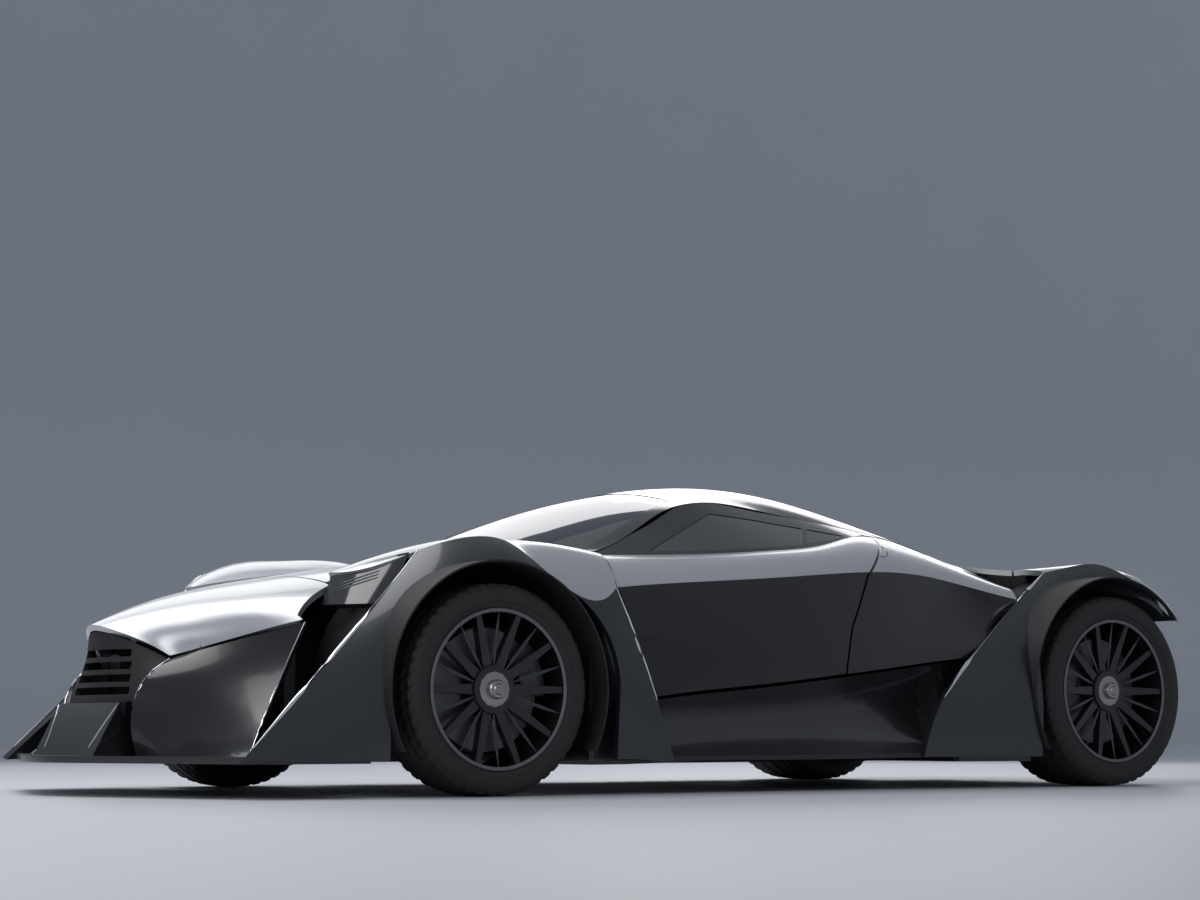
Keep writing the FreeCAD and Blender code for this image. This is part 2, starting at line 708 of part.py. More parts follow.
def build_skirts():
    """Rockers under the doors, tucked in below the flank and out again at the floor."""
    rails = [
        [mid(-745, -935, 122), mid(-500, -938, 122), mid(-200, -934, 122),
         mid(0, -930, 123), mid(200, -924, 124), mid(400, -918, 126),
         mid(560, -912, 128), mid(700, -905, 130)],
        [mid(-790, -880, 215), mid(-500, -868, 225), mid(-200, -850, 235),
         mid(0, -838, 245), mid(200, -825, 255), mid(400, -812, 265),
         mid(560, -806, 275), mid(700, -800, 280)],
        [mid(-830, -921, 288), mid(-560, -936, 323), mid(-260, -934, 350),
         mid(0, -924, 378), mid(200, -904, 400), mid(400, -876, 422),
         mid(560, -854, 440), mid(700, -841, 454)],
    ]
    skirt = slab(band(rails, 15, 9), skin, mid(0, 0, 300))
    over = [(p.x, p.z) for p in spline_points(rails[2], 13)]
    over = [(over[0][0] - 60, over[0][1] - 8)] + over + [(over[-1][0] + 60, over[-1][1] + 12)]
    over += [(over[-1][0], 900), (over[0][0], 900)]
    skirt = skirt.cut(side_prism(over, -1300, -300))
    pieces["side_skirts"] = pair(largest(trimmed(skirt, pieces["front_blades"])))


def liner(axle_x, radius, y_inner, cutters, rear_z):
    """A curved shell over one left wheel with a wall on its inner side."""
    wall_y = -y_inner
    shell = cylinder_y(axle_x, radius, liner_radius(radius) + 6, -985, wall_y)
    shell = shell.cut(cylinder_y(axle_x, radius, liner_radius(radius), -1000, 0))
    keep = box(axle_x - 500, axle_x, -1000, 0, 140, 900)
    keep = keep.fuse(box(axle_x, axle_x + 500, -1000, 0, rear_z, 900))
    shell = shell.common(keep)
    wall = cylinder_y(axle_x, radius, liner_radius(radius) + 6, wall_y, wall_y + 6)
    wall = wall.common(box(axle_x - 500, axle_x + 500, -1000, 0, 520, 1000))
    return largest(trimmed(shell.fuse(wall), *cutters))


def liner_radius(radius):
    return radius + liner_clearance


def build_structure():
    """The tub, the front and rear frames, the floors and the liners, each cut to lie
    against the panels that it carries."""
    inner_skins = [pieces[n] for n in ("door_rings", "quarter_panels", "rear_flanks",
                                       "front_fender_tops",
                                       "front_blades", "side_skirts")]
    roofs = [pieces["roof"], pieces["engine_cover"]]
    hood = seat_tool("bonnet")
    deck = seat_tool("deck_lid")
    floor = box(tub_front, tub_rear, -inner_wall, inner_wall, floor_height,
                floor_height + floor_thickness)
    parts = []
    for s in (-1, 1):
        low, high = sorted((s * inner_wall, s * tub_half_width))
        parts.append(box(sill_front, tub_rear, low, high, floor_height,
                         floor_height + floor_thickness))
        low, high = sorted((s * tub_half_width, s * (tub_half_width + sill_width)))
        parts.append(box(sill_front, tub_rear, low, high, floor_height,
                         floor_height + sill_height))
        low, high = sorted((s * tub_half_width, s * 890))
        parts.append(box(sill_front, tub_rear, low, high, floor_height,
                         floor_height + 12))
        low, high = sorted((s * tub_half_width, s * 905))
        pillar = box(sill_front, sill_front + 55, low, high, floor_height, 800)
        parts.append(largest(trimmed(pillar, *inner_skins)))
        low, high = sorted((s * tub_half_width, s * 872))
        foot = box(sill_front + 50, sill_front + 160, low, high, floor_height, 570)
        parts.append(largest(trimmed(foot, *inner_skins)))
        low, high = sorted((s * 460, s * 905))
        post_b = box(tub_rear - 50, tub_rear - 10, low, high, floor_height, 880)
        parts.append(largest(trimmed(post_b, *inner_skins, *roofs)))
    parts.append(box(tub_front, tub_front + wall_thickness, -inner_wall, inner_wall,
                     floor_height, 640))
    plenum = box(front_axle + 200, tub_front + wall_thickness, -430, 430, 610, 640)
    parts.append(plenum)
    parts.append(post(front_axle + 200, front_axle + 240, -430, 430, 640,
                      pieces["cowl"]))
    split = cover_gap / 2 + rest_gap
    parts += [
        box(tub_rear - 50, tub_rear - 10, -465, 465, floor_height, 860),
        post(tub_rear - 50, cover_split - split, -465, 465, 860, pieces["roof"]),
        post(cover_split + split, tub_rear - 10, -465, 465, 860, pieces["engine_cover"]),
    ]
    tub = trimmed(floor.fuse(parts), pieces["side_skirts"])
    rings = trimmed(pieces.pop("door_rings"), pieces["side_skirts"])
    pieces["tub"] = tub.fuse(rings.Solids)

    beams = []
    for s in (-1, 1):
        low, high = sorted((s * (frame_outer - 50), s * frame_outer))
        rail_z = splitter_height + splitter_thickness
        beams.append(box(front_axle - 850, tub_front, low, high, rail_z, rail_z + 80))
        low, high = sorted((s * (frame_outer - 26), s * frame_outer))
        beams.append(box(front_axle - 180, front_axle + 180, low, high, rail_z + 80, 520))
        for x in (front_axle - 700, front_axle - 400):
            low, high = sorted((s * 250, s * (frame_outer - 10)))
            beams.append(post(x - 20, x + 20, low, high, rail_z + 10, hood))
        low, high = sorted((s * (frame_outer - 26), s * (inner_wall - 6)))
        beams.append(box(front_axle - 60, front_axle + 60, low, high, 480, 560))
    cross = box(front_axle - 850, front_axle - 800, -frame_outer, frame_outer,
                rail_z, rail_z + 80)
    pieces["front_frame"] = trimmed(cross.fuse(beams), pieces["cheeks"])

    beams = []
    rail_z = floor_height + splitter_thickness
    for s in (-1, 1):
        low, high = sorted((s * (frame_outer - 50), s * frame_outer))
        beams.append(box(tub_rear, rear_axle + 180, low, high, rail_z, rail_z + 80))
        beams.append(box(rear_axle + 130, rear_axle + 560, low, high, 380, 440))
        low, high = sorted((s * (frame_outer - 26), s * frame_outer))
        beams.append(box(rear_axle - 180, rear_axle + 180, low, high, rail_z + 80, 600))
        low, high = sorted((s * (frame_outer - 26), s * (rear_inner_wall - 6)))
        beams.append(box(rear_axle - 33, rear_axle + 33, low, high, 540, 600))
        for x, foot in ((rear_axle - 120, rail_z + 10), (rear_axle + 520, 400)):
            low, high = sorted((s * (frame_outer - 50), s * (frame_outer - 10)))
            beams.append(post(x - 20, x + 20, low, high, foot, deck))
    arm = box(rear_axle + 520, rear_axle + 560, -600, 600, 330, 385)
    tail_beam = trimmed(arm, pieces["tail_panel"])
    tail_beam = min(tail_beam.Solids, key=lambda s: abs(s.CenterOfMass.y))
    frame = tail_beam.fuse(beams)
    shaft = cylinder_y(rear_axle, rear_tyre_radius, shaft_radius + 6, -800, 800)
    pieces["rear_frame"] = frame.cut(shaft)

    tops = [pieces[n] for n in ("front_fender_tops", "front_blades", "cowl", "headlamps",
                                "tub", "cheeks")]
    front = pair(liner(front_axle, front_tyre_radius, inner_wall, tops, 140))
    tops = [pieces[n] for n in ("rear_fender_tops", "rear_blades", "tail_panel",
                                "rear_flanks")] + [deck]
    made = liner(rear_axle, rear_tyre_radius, rear_inner_wall, tops, 620)
    gusset = box(rear_axle - 100, rear_axle + 100, -rear_inner_wall,
                 -rear_inner_wall + 6, 620, 900)
    gusset = lowest(trimmed(gusset, pieces["rear_fender_tops"], deck))
    rear = pair(made.fuse(gusset))
    pieces["liners"] = together(front, rear)

    outline = [(tub_rear, -690), (tub_rear, -905), (rear_axle - 400, -925),
               (rear_axle - 395, -rear_inner_wall), (rear_axle + 180, -rear_inner_wall)]
    outline += [(x, -y) for x, y in reversed(outline)]
    plate = plan_prism(outline, floor_height, floor_height + splitter_thickness)
    plate = trimmed(plate, pieces["side_skirts"], pieces["rear_blades"])
    pieces["underbody"] = plate.fuse(diffuser())


def diffuser():
    """The ramp behind the rear axle and the fins that hang below it."""
    start = rear_axle + 180
    end = rear_axle + 640
    low = floor_height
    high = floor_height + splitter_thickness
    ramp = side_prism([(start - 10, low), (start - 10, high), (start, high),
                       (start + 60, high + 12),
                       (end - 60, 304), (end, 312), (end, 300), (end - 55, 290),
                       (start + 70, low + 14)], -diffuser_half_width, diffuser_half_width)
    fin = [(start + 20, low + 2), (start + 40, high), (end - 40, 300), (end - 10, 300),
           (end - 25, 150), (end - 90, low + 24)]
    fins = []
    for k in range(fin_count):
        y = (2.0 * k / (fin_count - 1) - 1.0) * (diffuser_half_width - 5)
        fins.append(side_prism(fin, y - 5, y + 5))
    return ramp.fuse(fins)


def build_tail():
    """The tail panel round the back with its lamp strip, and the diffuser below."""
    def row(z, push):
        left = [aft(250, -590, z), aft(470, -585, z), aft(610, -520, z),
                aft(690 + push, -300, z), aft(720 + push, 0, z)]
        return left + list(reversed(flip(left)))[1:]
    rails = [row(320, -30), row(480, -12), row(640, 10), row(765, 14)]
    grid = band(rails, 21, 9)
    inside = aft(300, 0, 500)
    panel = slab(grid, skin, inside)
    strip = box(rear_axle + 480, tail_x + 100, -640, 640, lamp_height,
                lamp_height + lamp_band)
    vents = [
        box(rear_axle + 640, tail_x + 100, side * 300 - 170, side * 300 + 170, 380 + k * 44,
            408 + k * 44)
        for side in (-1, 1) for k in range(3)
    ]
    pipes = []
    for side in (-1, 1):
        reach = tail_x - rear_axle - 460
        outer = Part.makeCylinder(pipe_radius, reach, aft(460, side * pipe_offset, 440),
                                  Vector(1, 0, 0))
        bore = Part.makeCylinder(pipe_radius - 4, 160, aft(640, side * pipe_offset, 440),
                                 Vector(1, 0, 0))
        pipes.append(outer.cut(bore))
        panel = panel.cut(outer)
    lamp = slab(grid, 18.0, inside, 1.5).common(strip)
    pieces["tail_lamp"] = largest(lamp)
    panel = panel.cut(tools["over_deck"]).cut(strip)
    panel = trimmed(panel, *vents, pieces["rear_fender_tops"])
    pieces["tail_panel"] = panel
    length = frame_outer - 50
    silencer = revolved_y([(0, -length), (66, -length), (silencer_radius, -length + 24),
                           (silencer_radius, length - 24), (66, length), (0, length)],
                          rear_axle + 400, 440)
    pieces["tailpipes"] = silencer.fuse(pipes)


def seat(y):
    """A shell seat: a side profile with a hollow for the driver between its bolsters."""
    shell = [(middle - 330, 165), (middle - 350, 310), (middle - 300, 345),
             (middle + 30, 330), (middle + 170, 430), (middle + 300, 700),
             (middle + 375, 780), (middle + 405, 875), (middle + 468, 870),
             (middle + 448, 720), (middle + 330, 330), (middle + 240, 165)]
    hollow = [(middle - 400, 292), (middle - 60, 262), (middle + 90, 268),
              (middle + 165, 320), (middle + 360, 780), (middle + 400, 1000),
              (middle - 400, 1000)]
    belt = [(middle + 300, 745), (middle + 480, 745), (middle + 480, 772),
            (middle + 310, 772)]
    half = seat_width / 2
    made = side_prism(shell, y - half, y + half)
    made = made.cut(side_prism(hollow, y - half + bolster, y + half - bolster))
    for side in (-1, 1):
        low, high = sorted((y + side * 30, y + side * 110))
        made = made.cut(side_prism(belt, low, high))
        shoulder = [Vector(middle + 200, y + side * (half + 10), 560),
                    Vector(middle + 200, y + side * (half - 30), 700),
                    Vector(middle + 200, y + side * 102, 790),
                    Vector(middle + 200, y + side * 88, 1000),
                    Vector(middle + 200, y + side * (half + 10), 1000)]
        face = Part.Face(Part.makePolygon(shoulder + shoulder[:1]))
        made = made.cut(face.extrude(Vector(400, 0, 0)))
    return largest(made)


def wheel_rim():
    """The steering wheel: a ring, three spokes, a boss and its column."""
    section = []
    for k in range(10):
        turn = 2 * math.pi * k / 10
        section.append(Vector(wheel_grip * math.cos(turn), 0,
                              wheel_grip_radius + wheel_grip * math.sin(turn)))
    ring = Part.Face(Part.makePolygon(section + section[:1])).revolve(
        Vector(0, 0, 0), Vector(1, 0, 0), 360)
    boss = Part.makeCylinder(52, 34, Vector(-24, 0, 0), Vector(1, 0, 0))
    column = Part.makeCylinder(24, 320, Vector(-330, 0, 0), Vector(1, 0, 0))
    spokes = [box(-10, 6, -wheel_grip_radius, wheel_grip_radius, -16, 24),
              box(-10, 6, -26, 26, -wheel_grip_radius, 0)]
    whole = ring.fuse([boss, column] + spokes)
    whole.rotate(Vector(0, 0, 0), Vector(0, 1, 0), wheel_rake)
    whole.translate(Vector(middle - 330, -seat_centre, 668))
    return whole


def power_unit():
    """Crankcase with two leaning banks, an intake box between them, and the gearbox."""
    front = tub_rear + 20
    back = rear_axle - 200
    case = box(front, back, -190, 190, 135, 420)
    ends = []
    for x in (front, back - 30):
        ends.append(box(x, x + 30, -250, 250, 135, 380))
    banks = []
    for side in (-1, 1):
        profile = [Vector(front + 20, side * 40, 400), Vector(front + 20, side * 190, 330),
                   Vector(front + 20, side * 300, 540), Vector(front + 20, side * 270, 590),
                   Vector(front + 20, side * 150, 610)]
        face = Part.Face(Part.makePolygon(profile + profile[:1]))
        banks.append(face.extrude(Vector(back - front - 40, 0, 0)))
        for k in range(4):
            banks.append(Part.makeCylinder(20, 110, Vector(front + 90 + k * 105, side * 190, 580),
                                           Vector(0, -side * 100, 60)))
    plenum = box(front + 40, back - 60, -105, 105, 600, 690)
    plenum = plenum.makeFillet(28, [e for e in plenum.Edges if e.Vertexes[0].Z > 650
                                    and e.Vertexes[1].Z > 650])
    taper = gearbox_half_width
    sections = []
    for x, half, low, high in ((back, 250, 140, 420), (back + 120, taper, 150, 470),
                               (rear_axle + 120, taper, 150, 500),
                               (rear_axle + 290, 110, 190, 430)):
        corners = [Vector(x, -half, low), Vector(x, half, low), Vector(x, half, high),
                   Vector(x, -half, high)]
        sections.append(Part.makePolygon(corners + corners[:1]))
    gearbox = Part.makeLoft(sections, True, True)
    ribs = [box(x, x + 10, -taper, taper, 150, 512)
            for x in (rear_axle - 60, rear_axle + 50)]
    feet = []
    for side in (-1, 1):
        for x, inner in ((front + 80, 190), (rear_axle + 90, taper)):
            low, high = sorted((side * inner, side * (frame_outer - 50)))
            feet.append(box(x, x + 60, low, high, 152, 190))
    return case.fuse(ends + banks + [plenum, gearbox] + ribs + feet)


def build_inside():
    """Seats on their rails, the dashboard, the steering wheel and the power unit."""
    pieces["seats"] = pair(seat(-seat_centre))
    floor_top = floor_height + floor_thickness
    rails = []
    for side in (-1, 1):
        low, high = sorted((side * seat_centre - 160, side * seat_centre - 120))
        rails.append(box(middle - 300, middle + 220, low, high, floor_top, 165))
        low, high = sorted((side * seat_centre + 120, side * seat_centre + 160))
        rails.append(box(middle - 300, middle + 220, low, high, floor_top, 165))
    tunnel = side_prism([(tub_front + 20, floor_top - 5), (tub_front + 20, 330),
                         (middle - 300, 330), (middle + 60, 270), (tub_rear - 30, 260),
                         (tub_rear - 30, floor_top - 5)], -70, 70)
    pieces["tub"] = pieces["tub"].fuse(rails + [tunnel])
    profile = [(tub_front + wall_thickness, 600), (tub_front + wall_thickness, 700),
               (middle - 700, 740), (middle - 590, 736), (middle - 550, 715),
               (middle - 545, 640), (middle - 600, 590), (middle - 640, 520)]
    dash = side_prism(profile, -640, 640)
    hood = Part.makeCylinder(105, 130, mid(-640, -seat_centre, 690), Vector(1, 0, 0))
    dash = dash.fuse(hood.cut(Part.makeCylinder(94, 60, mid(-540, -seat_centre, 690),
                                                Vector(1, 0, 0))))
    pieces["dashboard"] = largest(trimmed(
        dash, pieces["tub"], pieces["windscreen"], pieces["roof"]))
    pieces["steering_wheel"] = largest(trimmed(wheel_rim(), pieces["dashboard"]))
    pieces["power_unit"] = power_unit()


def build_front_bay():
    """The moulded boot tray between the front rails."""
    x0, x1 = front_axle - 640, front_axle + 130
    wide = 250.0
    tray = box(x0, x1, -wide, wide, 300, 560)
    tray = tray.cut(box(x0 + 6, x1 - 6, -wide + 6, wide - 6, 306, 600))
    lip = box(x0 - 14, x1 + 14, -wide - 0.0, wide, 552, 560)
    lip = lip.cut(box(x0 + 6, x1 - 6, -wide + 6, wide - 6, 500, 600))
    legs = [box(x, x + 30, -wide, wide, 206, 300) for x in (x0 + 40, x1 - 60)]
    tray = trimmed(tray.fuse([lip] + legs), pieces["front_frame"])
    pieces["liners"] = together(pieces["liners"], tray)


def export():
    os.makedirs("parts", exist_ok=True)
    for name, shape in pieces.items():
        valid = shape.isValid()
        print(name, len(shape.Solids), valid, round(shape.Volume / 1e6, 2))
        shape.exportStep("parts/" + name + ".step")


build_bonnet()
build_front_fender()
build_cabin()
build_rear()
build_wheels()
build_nose()
build_skirts()
build_tail()
build_structure()
build_inside()
build_front_bay()
front_arms = pair(arms(front_axle, front_tyre_radius, -king_pin_y, rest_gap))
pieces["front_frame"] = pieces["front_frame"].fuse(front_arms.Solids)
pieces["rear_frame"] = pieces["rear_frame"].fuse(pieces.pop("rear_suspension").Solids)
pieces["roof"] = together(pieces["roof"], pieces.pop("engine_cover"))
export()
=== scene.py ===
import bpy
import bmesh
import json
import math
from mathutils import Vector, Matrix
from mathutils.bvhtree import BVHTree


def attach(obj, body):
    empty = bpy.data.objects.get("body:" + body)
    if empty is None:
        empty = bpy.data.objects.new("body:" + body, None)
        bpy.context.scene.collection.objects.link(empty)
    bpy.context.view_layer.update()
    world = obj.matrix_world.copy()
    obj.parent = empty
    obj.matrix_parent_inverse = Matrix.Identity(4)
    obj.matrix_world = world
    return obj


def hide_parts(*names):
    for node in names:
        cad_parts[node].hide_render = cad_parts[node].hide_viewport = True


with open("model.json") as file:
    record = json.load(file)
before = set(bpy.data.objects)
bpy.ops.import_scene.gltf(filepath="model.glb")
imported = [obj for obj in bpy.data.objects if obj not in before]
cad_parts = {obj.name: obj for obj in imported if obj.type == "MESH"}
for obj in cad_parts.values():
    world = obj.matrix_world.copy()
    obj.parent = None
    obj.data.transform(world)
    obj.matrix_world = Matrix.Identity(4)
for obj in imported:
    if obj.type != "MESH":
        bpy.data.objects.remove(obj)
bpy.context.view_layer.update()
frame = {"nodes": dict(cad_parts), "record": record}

nodes = frame["nodes"]
print("stage: frame loaded,", len(nodes), "nodes")

# Fixed places, in metres, from the same axles as the frame
frontAxle = -1.203
rearAxle = 1.523


# Shader building: a Wire is one socket's value, and sums on it add Math nodes

class Wire:
    def __init__(self, paint, socket):
        self.paint = paint
        self.socket = socket

    def sum(self, operation, first, second=0.0):
        return self.paint.node("ShaderNodeMath", {"operation": operation}, [first, second])

    def __add__(self, other):
        return self.sum("ADD", self, other)

    def __radd__(self, other):
        return self.sum("ADD", other, self)

    def __sub__(self, other):
        return self.sum("SUBTRACT", self, other)

    def __rsub__(self, other):
        return self.sum("SUBTRACT", other, self)

    def __mul__(self, other):
        return self.sum("MULTIPLY", self, other)

    def __rmul__(self, other):
        return self.sum("MULTIPLY", other, self)

    def __truediv__(self, other):
        return self.sum("DIVIDE", self, other)

    def __pow__(self, other):
        return self.sum("POWER", self, other)

    def above(self, level):
        return self.sum("GREATER_THAN", self, level)

    def wave(self):
        return self.sum("SINE", self)


class Paint:
    # One material: node() adds any node, sets its settings first and then its sockets
    def __init__(self, name):
        self.material = bpy.data.materials.new(name)
        self.material.use_nodes = True
        self.tree = self.material.node_tree
        self.tree.nodes.clear()
        self.place = None

    def put(self, socket, value):
        if isinstance(value, Wire):
            self.tree.links.new(value.socket, socket)
        elif isinstance(value, (tuple, list)) and len(value) == 3 and socket.type == "RGBA":
            socket.default_value = (*value, 1.0)
        else:
            socket.default_value = value

    def node(self, kind, settings=None, inputs=None, output=0):
        made = self.tree.nodes.new(kind)
        for name, value in (settings or {}).items():
            if name == "stops":
                ramp = made.color_ramp
                for k, (where, colour) in enumerate(value):
                    stop = ramp.elements[k] if k < 2 else ramp.elements.new(where)
                    stop.position = where
                    stop.color = (*colour, 1.0)
            else:
                setattr(made, name, value)
        pairs = enumerate(inputs) if isinstance(inputs, list) else (inputs or {}).items()
        for key, value in pairs:
            if value is not None:
                self.put(made.inputs[key], value)
        return Wire(self, made.outputs[output])

    def where(self, scale=(1.0, 1.0, 1.0)):
        if self.place is None:
            self.place = self.node("ShaderNodeTexCoord", output="Object")
        return self.node("ShaderNodeMapping", None, {"Vector": self.place, "Scale": scale})

    def noise(self, scale, detail=3.0, rough=0.5, stretch=(1.0, 1.0, 1.0)):
        return self.node("ShaderNodeTexNoise", None, {
            "Vector": self.where(stretch), "Scale": scale, "Detail": detail,
            "Roughness": rough})

    def mix(self, factor, first, second):
        return self.node("ShaderNodeMix", {"data_type": "RGBA"},
                         {"Factor": factor, 6: first, 7: second}, 2)

    def axis(self, k):
        if self.place is None:
            self.place = self.node("ShaderNodeTexCoord", output="Object")
        return self.node("ShaderNodeSeparateXYZ", None, [self.place], k)

    def bump(self, height, strength, distance):
        return self.node("ShaderNodeBump", None, {
            "Height": height, "Strength": strength, "Distance": distance})

    def finish(self, **sockets):
        made = self.tree.nodes.new("ShaderNodeBsdfPrincipled")
        for name, value in sockets.items():
            spaced = "".join(" " + c if c.isupper() else c for c in name).strip()
            spaced = {"Ior": "IOR"}.get(spaced, spaced)
            self.put(made.inputs[spaced], value)
        out = self.tree.nodes.new("ShaderNodeOutputMaterial")
        self.tree.links.new(made.outputs[0], out.inputs[0])
        return self.material


# Paints and finishes

def pearlSilver():
    look = {"base": (0.60, 0.61, 0.63), "shade": (0.47, 0.485, 0.515), "rough": 0.36}
    p = Paint("pearlSilver")
    flake = p.noise(620.0, 2.0)
    cloud = p.noise(2.2, 2.0)
    dust = p.noise(9.0, 6.0, 0.62)
    colour = p.mix(cloud * 0.5 + flake * 0.35, look["base"], look["shade"])
    return p.finish(
        BaseColor=colour, Metallic=0.72,
        Roughness=flake * 0.10 + dust * 0.06 + (look["rough"] - 0.08),
        Normal=p.bump(p.noise(190.0, 1.0), 0.018, 0.002),
        CoatWeight=0.5, CoatRoughness=0.10)


def glossBlack():
    p = Paint("glossBlack")
    dust = p.noise(7.0, 6.0, 0.65)
    flake = p.noise(700.0, 1.0)
    return p.finish(
        BaseColor=p.mix(flake * 0.6, (0.005, 0.005, 0.006), (0.014, 0.0145, 0.017)),
        Roughness=dust * 0.12 + 0.12,
        Normal=p.bump(p.noise(170.0, 1.0), 0.014, 0.002),
        CoatWeight=0.35, CoatRoughness=0.05)


def satinGraphite():
    p = Paint("satinGraphite")
    flake = p.noise(560.0, 2.0)
    cloud = p.noise(2.6, 3.0)
    return p.finish(
        BaseColor=p.mix(flake * 0.55 + cloud * 0.3, (0.034, 0.036, 0.043),
                        (0.066, 0.070, 0.082)),
        Metallic=0.7,
        Roughness=flake * 0.10 + p.noise(8.0, 5.0, 0.6) * 0.08 + 0.24,
        Normal=p.bump(p.noise(190.0, 1.0), 0.016, 0.002),
        CoatWeight=0.55, CoatRoughness=0.08)


def carbonWeave():
    look = {"tow": 0.0022, "dark": (0.008, 0.008, 0.009), "light": (0.032, 0.033, 0.036)}
    p = Paint("carbonWeave")
    turn = 2 * math.pi / (4 * look["tow"])
    x, y, z = p.axis(0), p.axis(1), p.axis(2)
    across = (x + z) * turn
    along = (y + z * 0.35) * turn
    twill = (across + along).wave() * 0.5 + 0.5
    thread = (across * 4.0).wave() * (along * 4.0).wave() * 0.5 + 0.5
    return p.finish(
        BaseColor=p.mix(twill * 0.7 + thread * 0.3, look["dark"], look["light"]),
        Roughness=twill * 0.10 + p.noise(6.0, 5.0, 0.6) * 0.10 + 0.20,
        Normal=p.bump(twill, 0.05, 0.0006),
        CoatWeight=0.7, CoatRoughness=0.06)


def matteBlack():
    p = Paint("matteBlack")
    grain = p.noise(850.0, 3.0)
    return p.finish(
        BaseColor=p.mix(p.noise(5.0, 5.0), (0.010, 0.010, 0.011), (0.024, 0.024, 0.025)),
        Roughness=grain * 0.2 + 0.55, Normal=p.bump(grain, 0.12, 0.0008))


def tintedGlass(name, alpha, tint):
    p = Paint(name)
    film = p.noise(4.0, 5.0, 0.6)
    lighter = tuple(c * 1.7 for c in tint)
    return p.finish(
        BaseColor=p.mix(film, tint, lighter), Roughness=film * 0.03 + 0.02,
        Alpha=alpha, Ior=1.5, CoatWeight=1.0, CoatRoughness=0.01)


def tyreRubber():
    p = Paint("tyreRubber")
    grain = p.noise(420.0, 4.0, 0.6)
    scuff = p.noise(14.0, 6.0, 0.65)
    return p.finish(
        BaseColor=p.mix(scuff, (0.012, 0.012, 0.012), (0.030, 0.029, 0.028)),
        Roughness=scuff * 0.18 + 0.58, Normal=p.bump(grain, 0.18, 0.0006))


def darkRim():
    p = Paint("darkRim")
    flake = p.noise(500.0, 2.0)
    return p.finish(
        BaseColor=p.mix(flake, (0.020, 0.021, 0.024), (0.046, 0.048, 0.054)),
        Metallic=0.7, Roughness=flake * 0.12 + p.noise(10.0, 5.0) * 0.10 + 0.24,
        Normal=p.bump(p.noise(160.0, 1.0), 0.02, 0.002),
        CoatWeight=0.4, CoatRoughness=0.12)


def castMetal():
    p = Paint("castMetal")
    grain = p.noise(260.0, 5.0, 0.6)
    return p.finish(
        BaseColor=p.mix(p.noise(12.0, 4.0), (0.16, 0.16, 0.17), (0.26, 0.26, 0.27)),
        Metallic=0.85, Roughness=grain * 0.25 + 0.38, Normal=p.bump(grain, 0.15, 0.001))


def brushedSteel():
    p = Paint("brushedSteel")
    brush = p.noise(60.0, 4.0, 0.6, (1.0, 14.0, 14.0))
    return p.finish(
        BaseColor=p.mix(brush, (0.30, 0.28, 0.27), (0.46, 0.44, 0.43)),
        Metallic=1.0, Roughness=brush * 0.15 + 0.22, Normal=p.bump(brush, 0.05, 0.001))


# Bright metal for the painted edge highlights on the blade, cheek and chin edges, and for the
# flap's inner edge ring
def brightTrimAndEdgeHighlight():
    p = Paint("brightTrimAndEdgeHighlight")
    brush = p.noise(140.0, 3.0)
    return p.finish(
        BaseColor=p.mix(brush, (0.72, 0.73, 0.75), (0.84, 0.85, 0.87)),
        Metallic=0.95, Roughness=brush * 0.06 + 0.16, CoatWeight=0.6, CoatRoughness=0.04)


def blackHide():
    p = Paint("blackHide")
    grain = p.node("ShaderNodeTexVoronoi", None, {"Vector": p.where(), "Scale": 420.0})
    crease = p.noise(30.0, 5.0, 0.6)
    return p.finish(
        BaseColor=p.mix(crease, (0.016, 0.016, 0.018), (0.034, 0.034, 0.037)),
        Roughness=grain * 0.25 + 0.42, Normal=p.bump(grain + crease * 0.4, 0.22, 0.0006))


def redLens():
    p = Paint("redLens")
    rib = (p.axis(1) * (2 * math.pi / 0.006)).wave() * 0.5 + 0.5
    return p.finish(
        BaseColor=p.mix(rib, (0.16, 0.004, 0.004), (0.34, 0.012, 0.010)),
        Roughness=p.noise(20.0, 3.0) * 0.08 + 0.08, Normal=p.bump(rib, 0.2, 0.0012),
        CoatWeight=1.0, CoatRoughness=0.02)


def clearLens():
    p = Paint("clearLens")
    film = p.noise(12.0, 4.0)
    return p.finish(
        BaseColor=p.mix(film, (0.010, 0.0105, 0.012), (0.020, 0.021, 0.024)),
        Roughness=film * 0.05 + 0.05, CoatWeight=1.0, CoatRoughness=0.02)


finishes = {
    "silver": pearlSilver(), "gloss_black": glossBlack(), "graphite": satinGraphite(),
    "carbon": carbonWeave(), "inner_black": matteBlack(), "tyre": tyreRubber(),
    "rim": darkRim(), "cast": castMetal(), "frame_metal": castMetal(),
    "steel": brushedSteel(), "seat": blackHide(), "red_lamp": redLens(),
    "lamp": clearLens(),
    "screen_glass": tintedGlass("screenGlass", 0.90, (0.010, 0.011, 0.013)),
    "side_glass": tintedGlass("sideGlass", 0.90, (0.010, 0.011, 0.013)),
}
# The bright metal of the painted edge highlights and of the flap's inner edge ring
trimAndHighlightPaint = brightTrimAndEdgeHighlight()
slotOf = {s["node"]: s["material_slot"] for s in frame["record"]["subparts"]}
for name, obj in nodes.items():
    obj.data.materials.clear()
    obj.data.materials.append(finishes[slotOf[name]])
print("stage: paints made and laid on the nodes")


# Mesh tools

def newPiece(name, mesh, paint, body):
    obj = bpy.data.objects.new(name, mesh)
    bpy.context.scene.collection.objects.link(obj)
    mesh.materials.append(paint)
    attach(obj, body)
    return obj


def smooth(mesh, angle=0.6):
    for face in mesh.polygons:
        face.use_smooth = True
    mesh.set_sharp_from_angle(angle=angle)


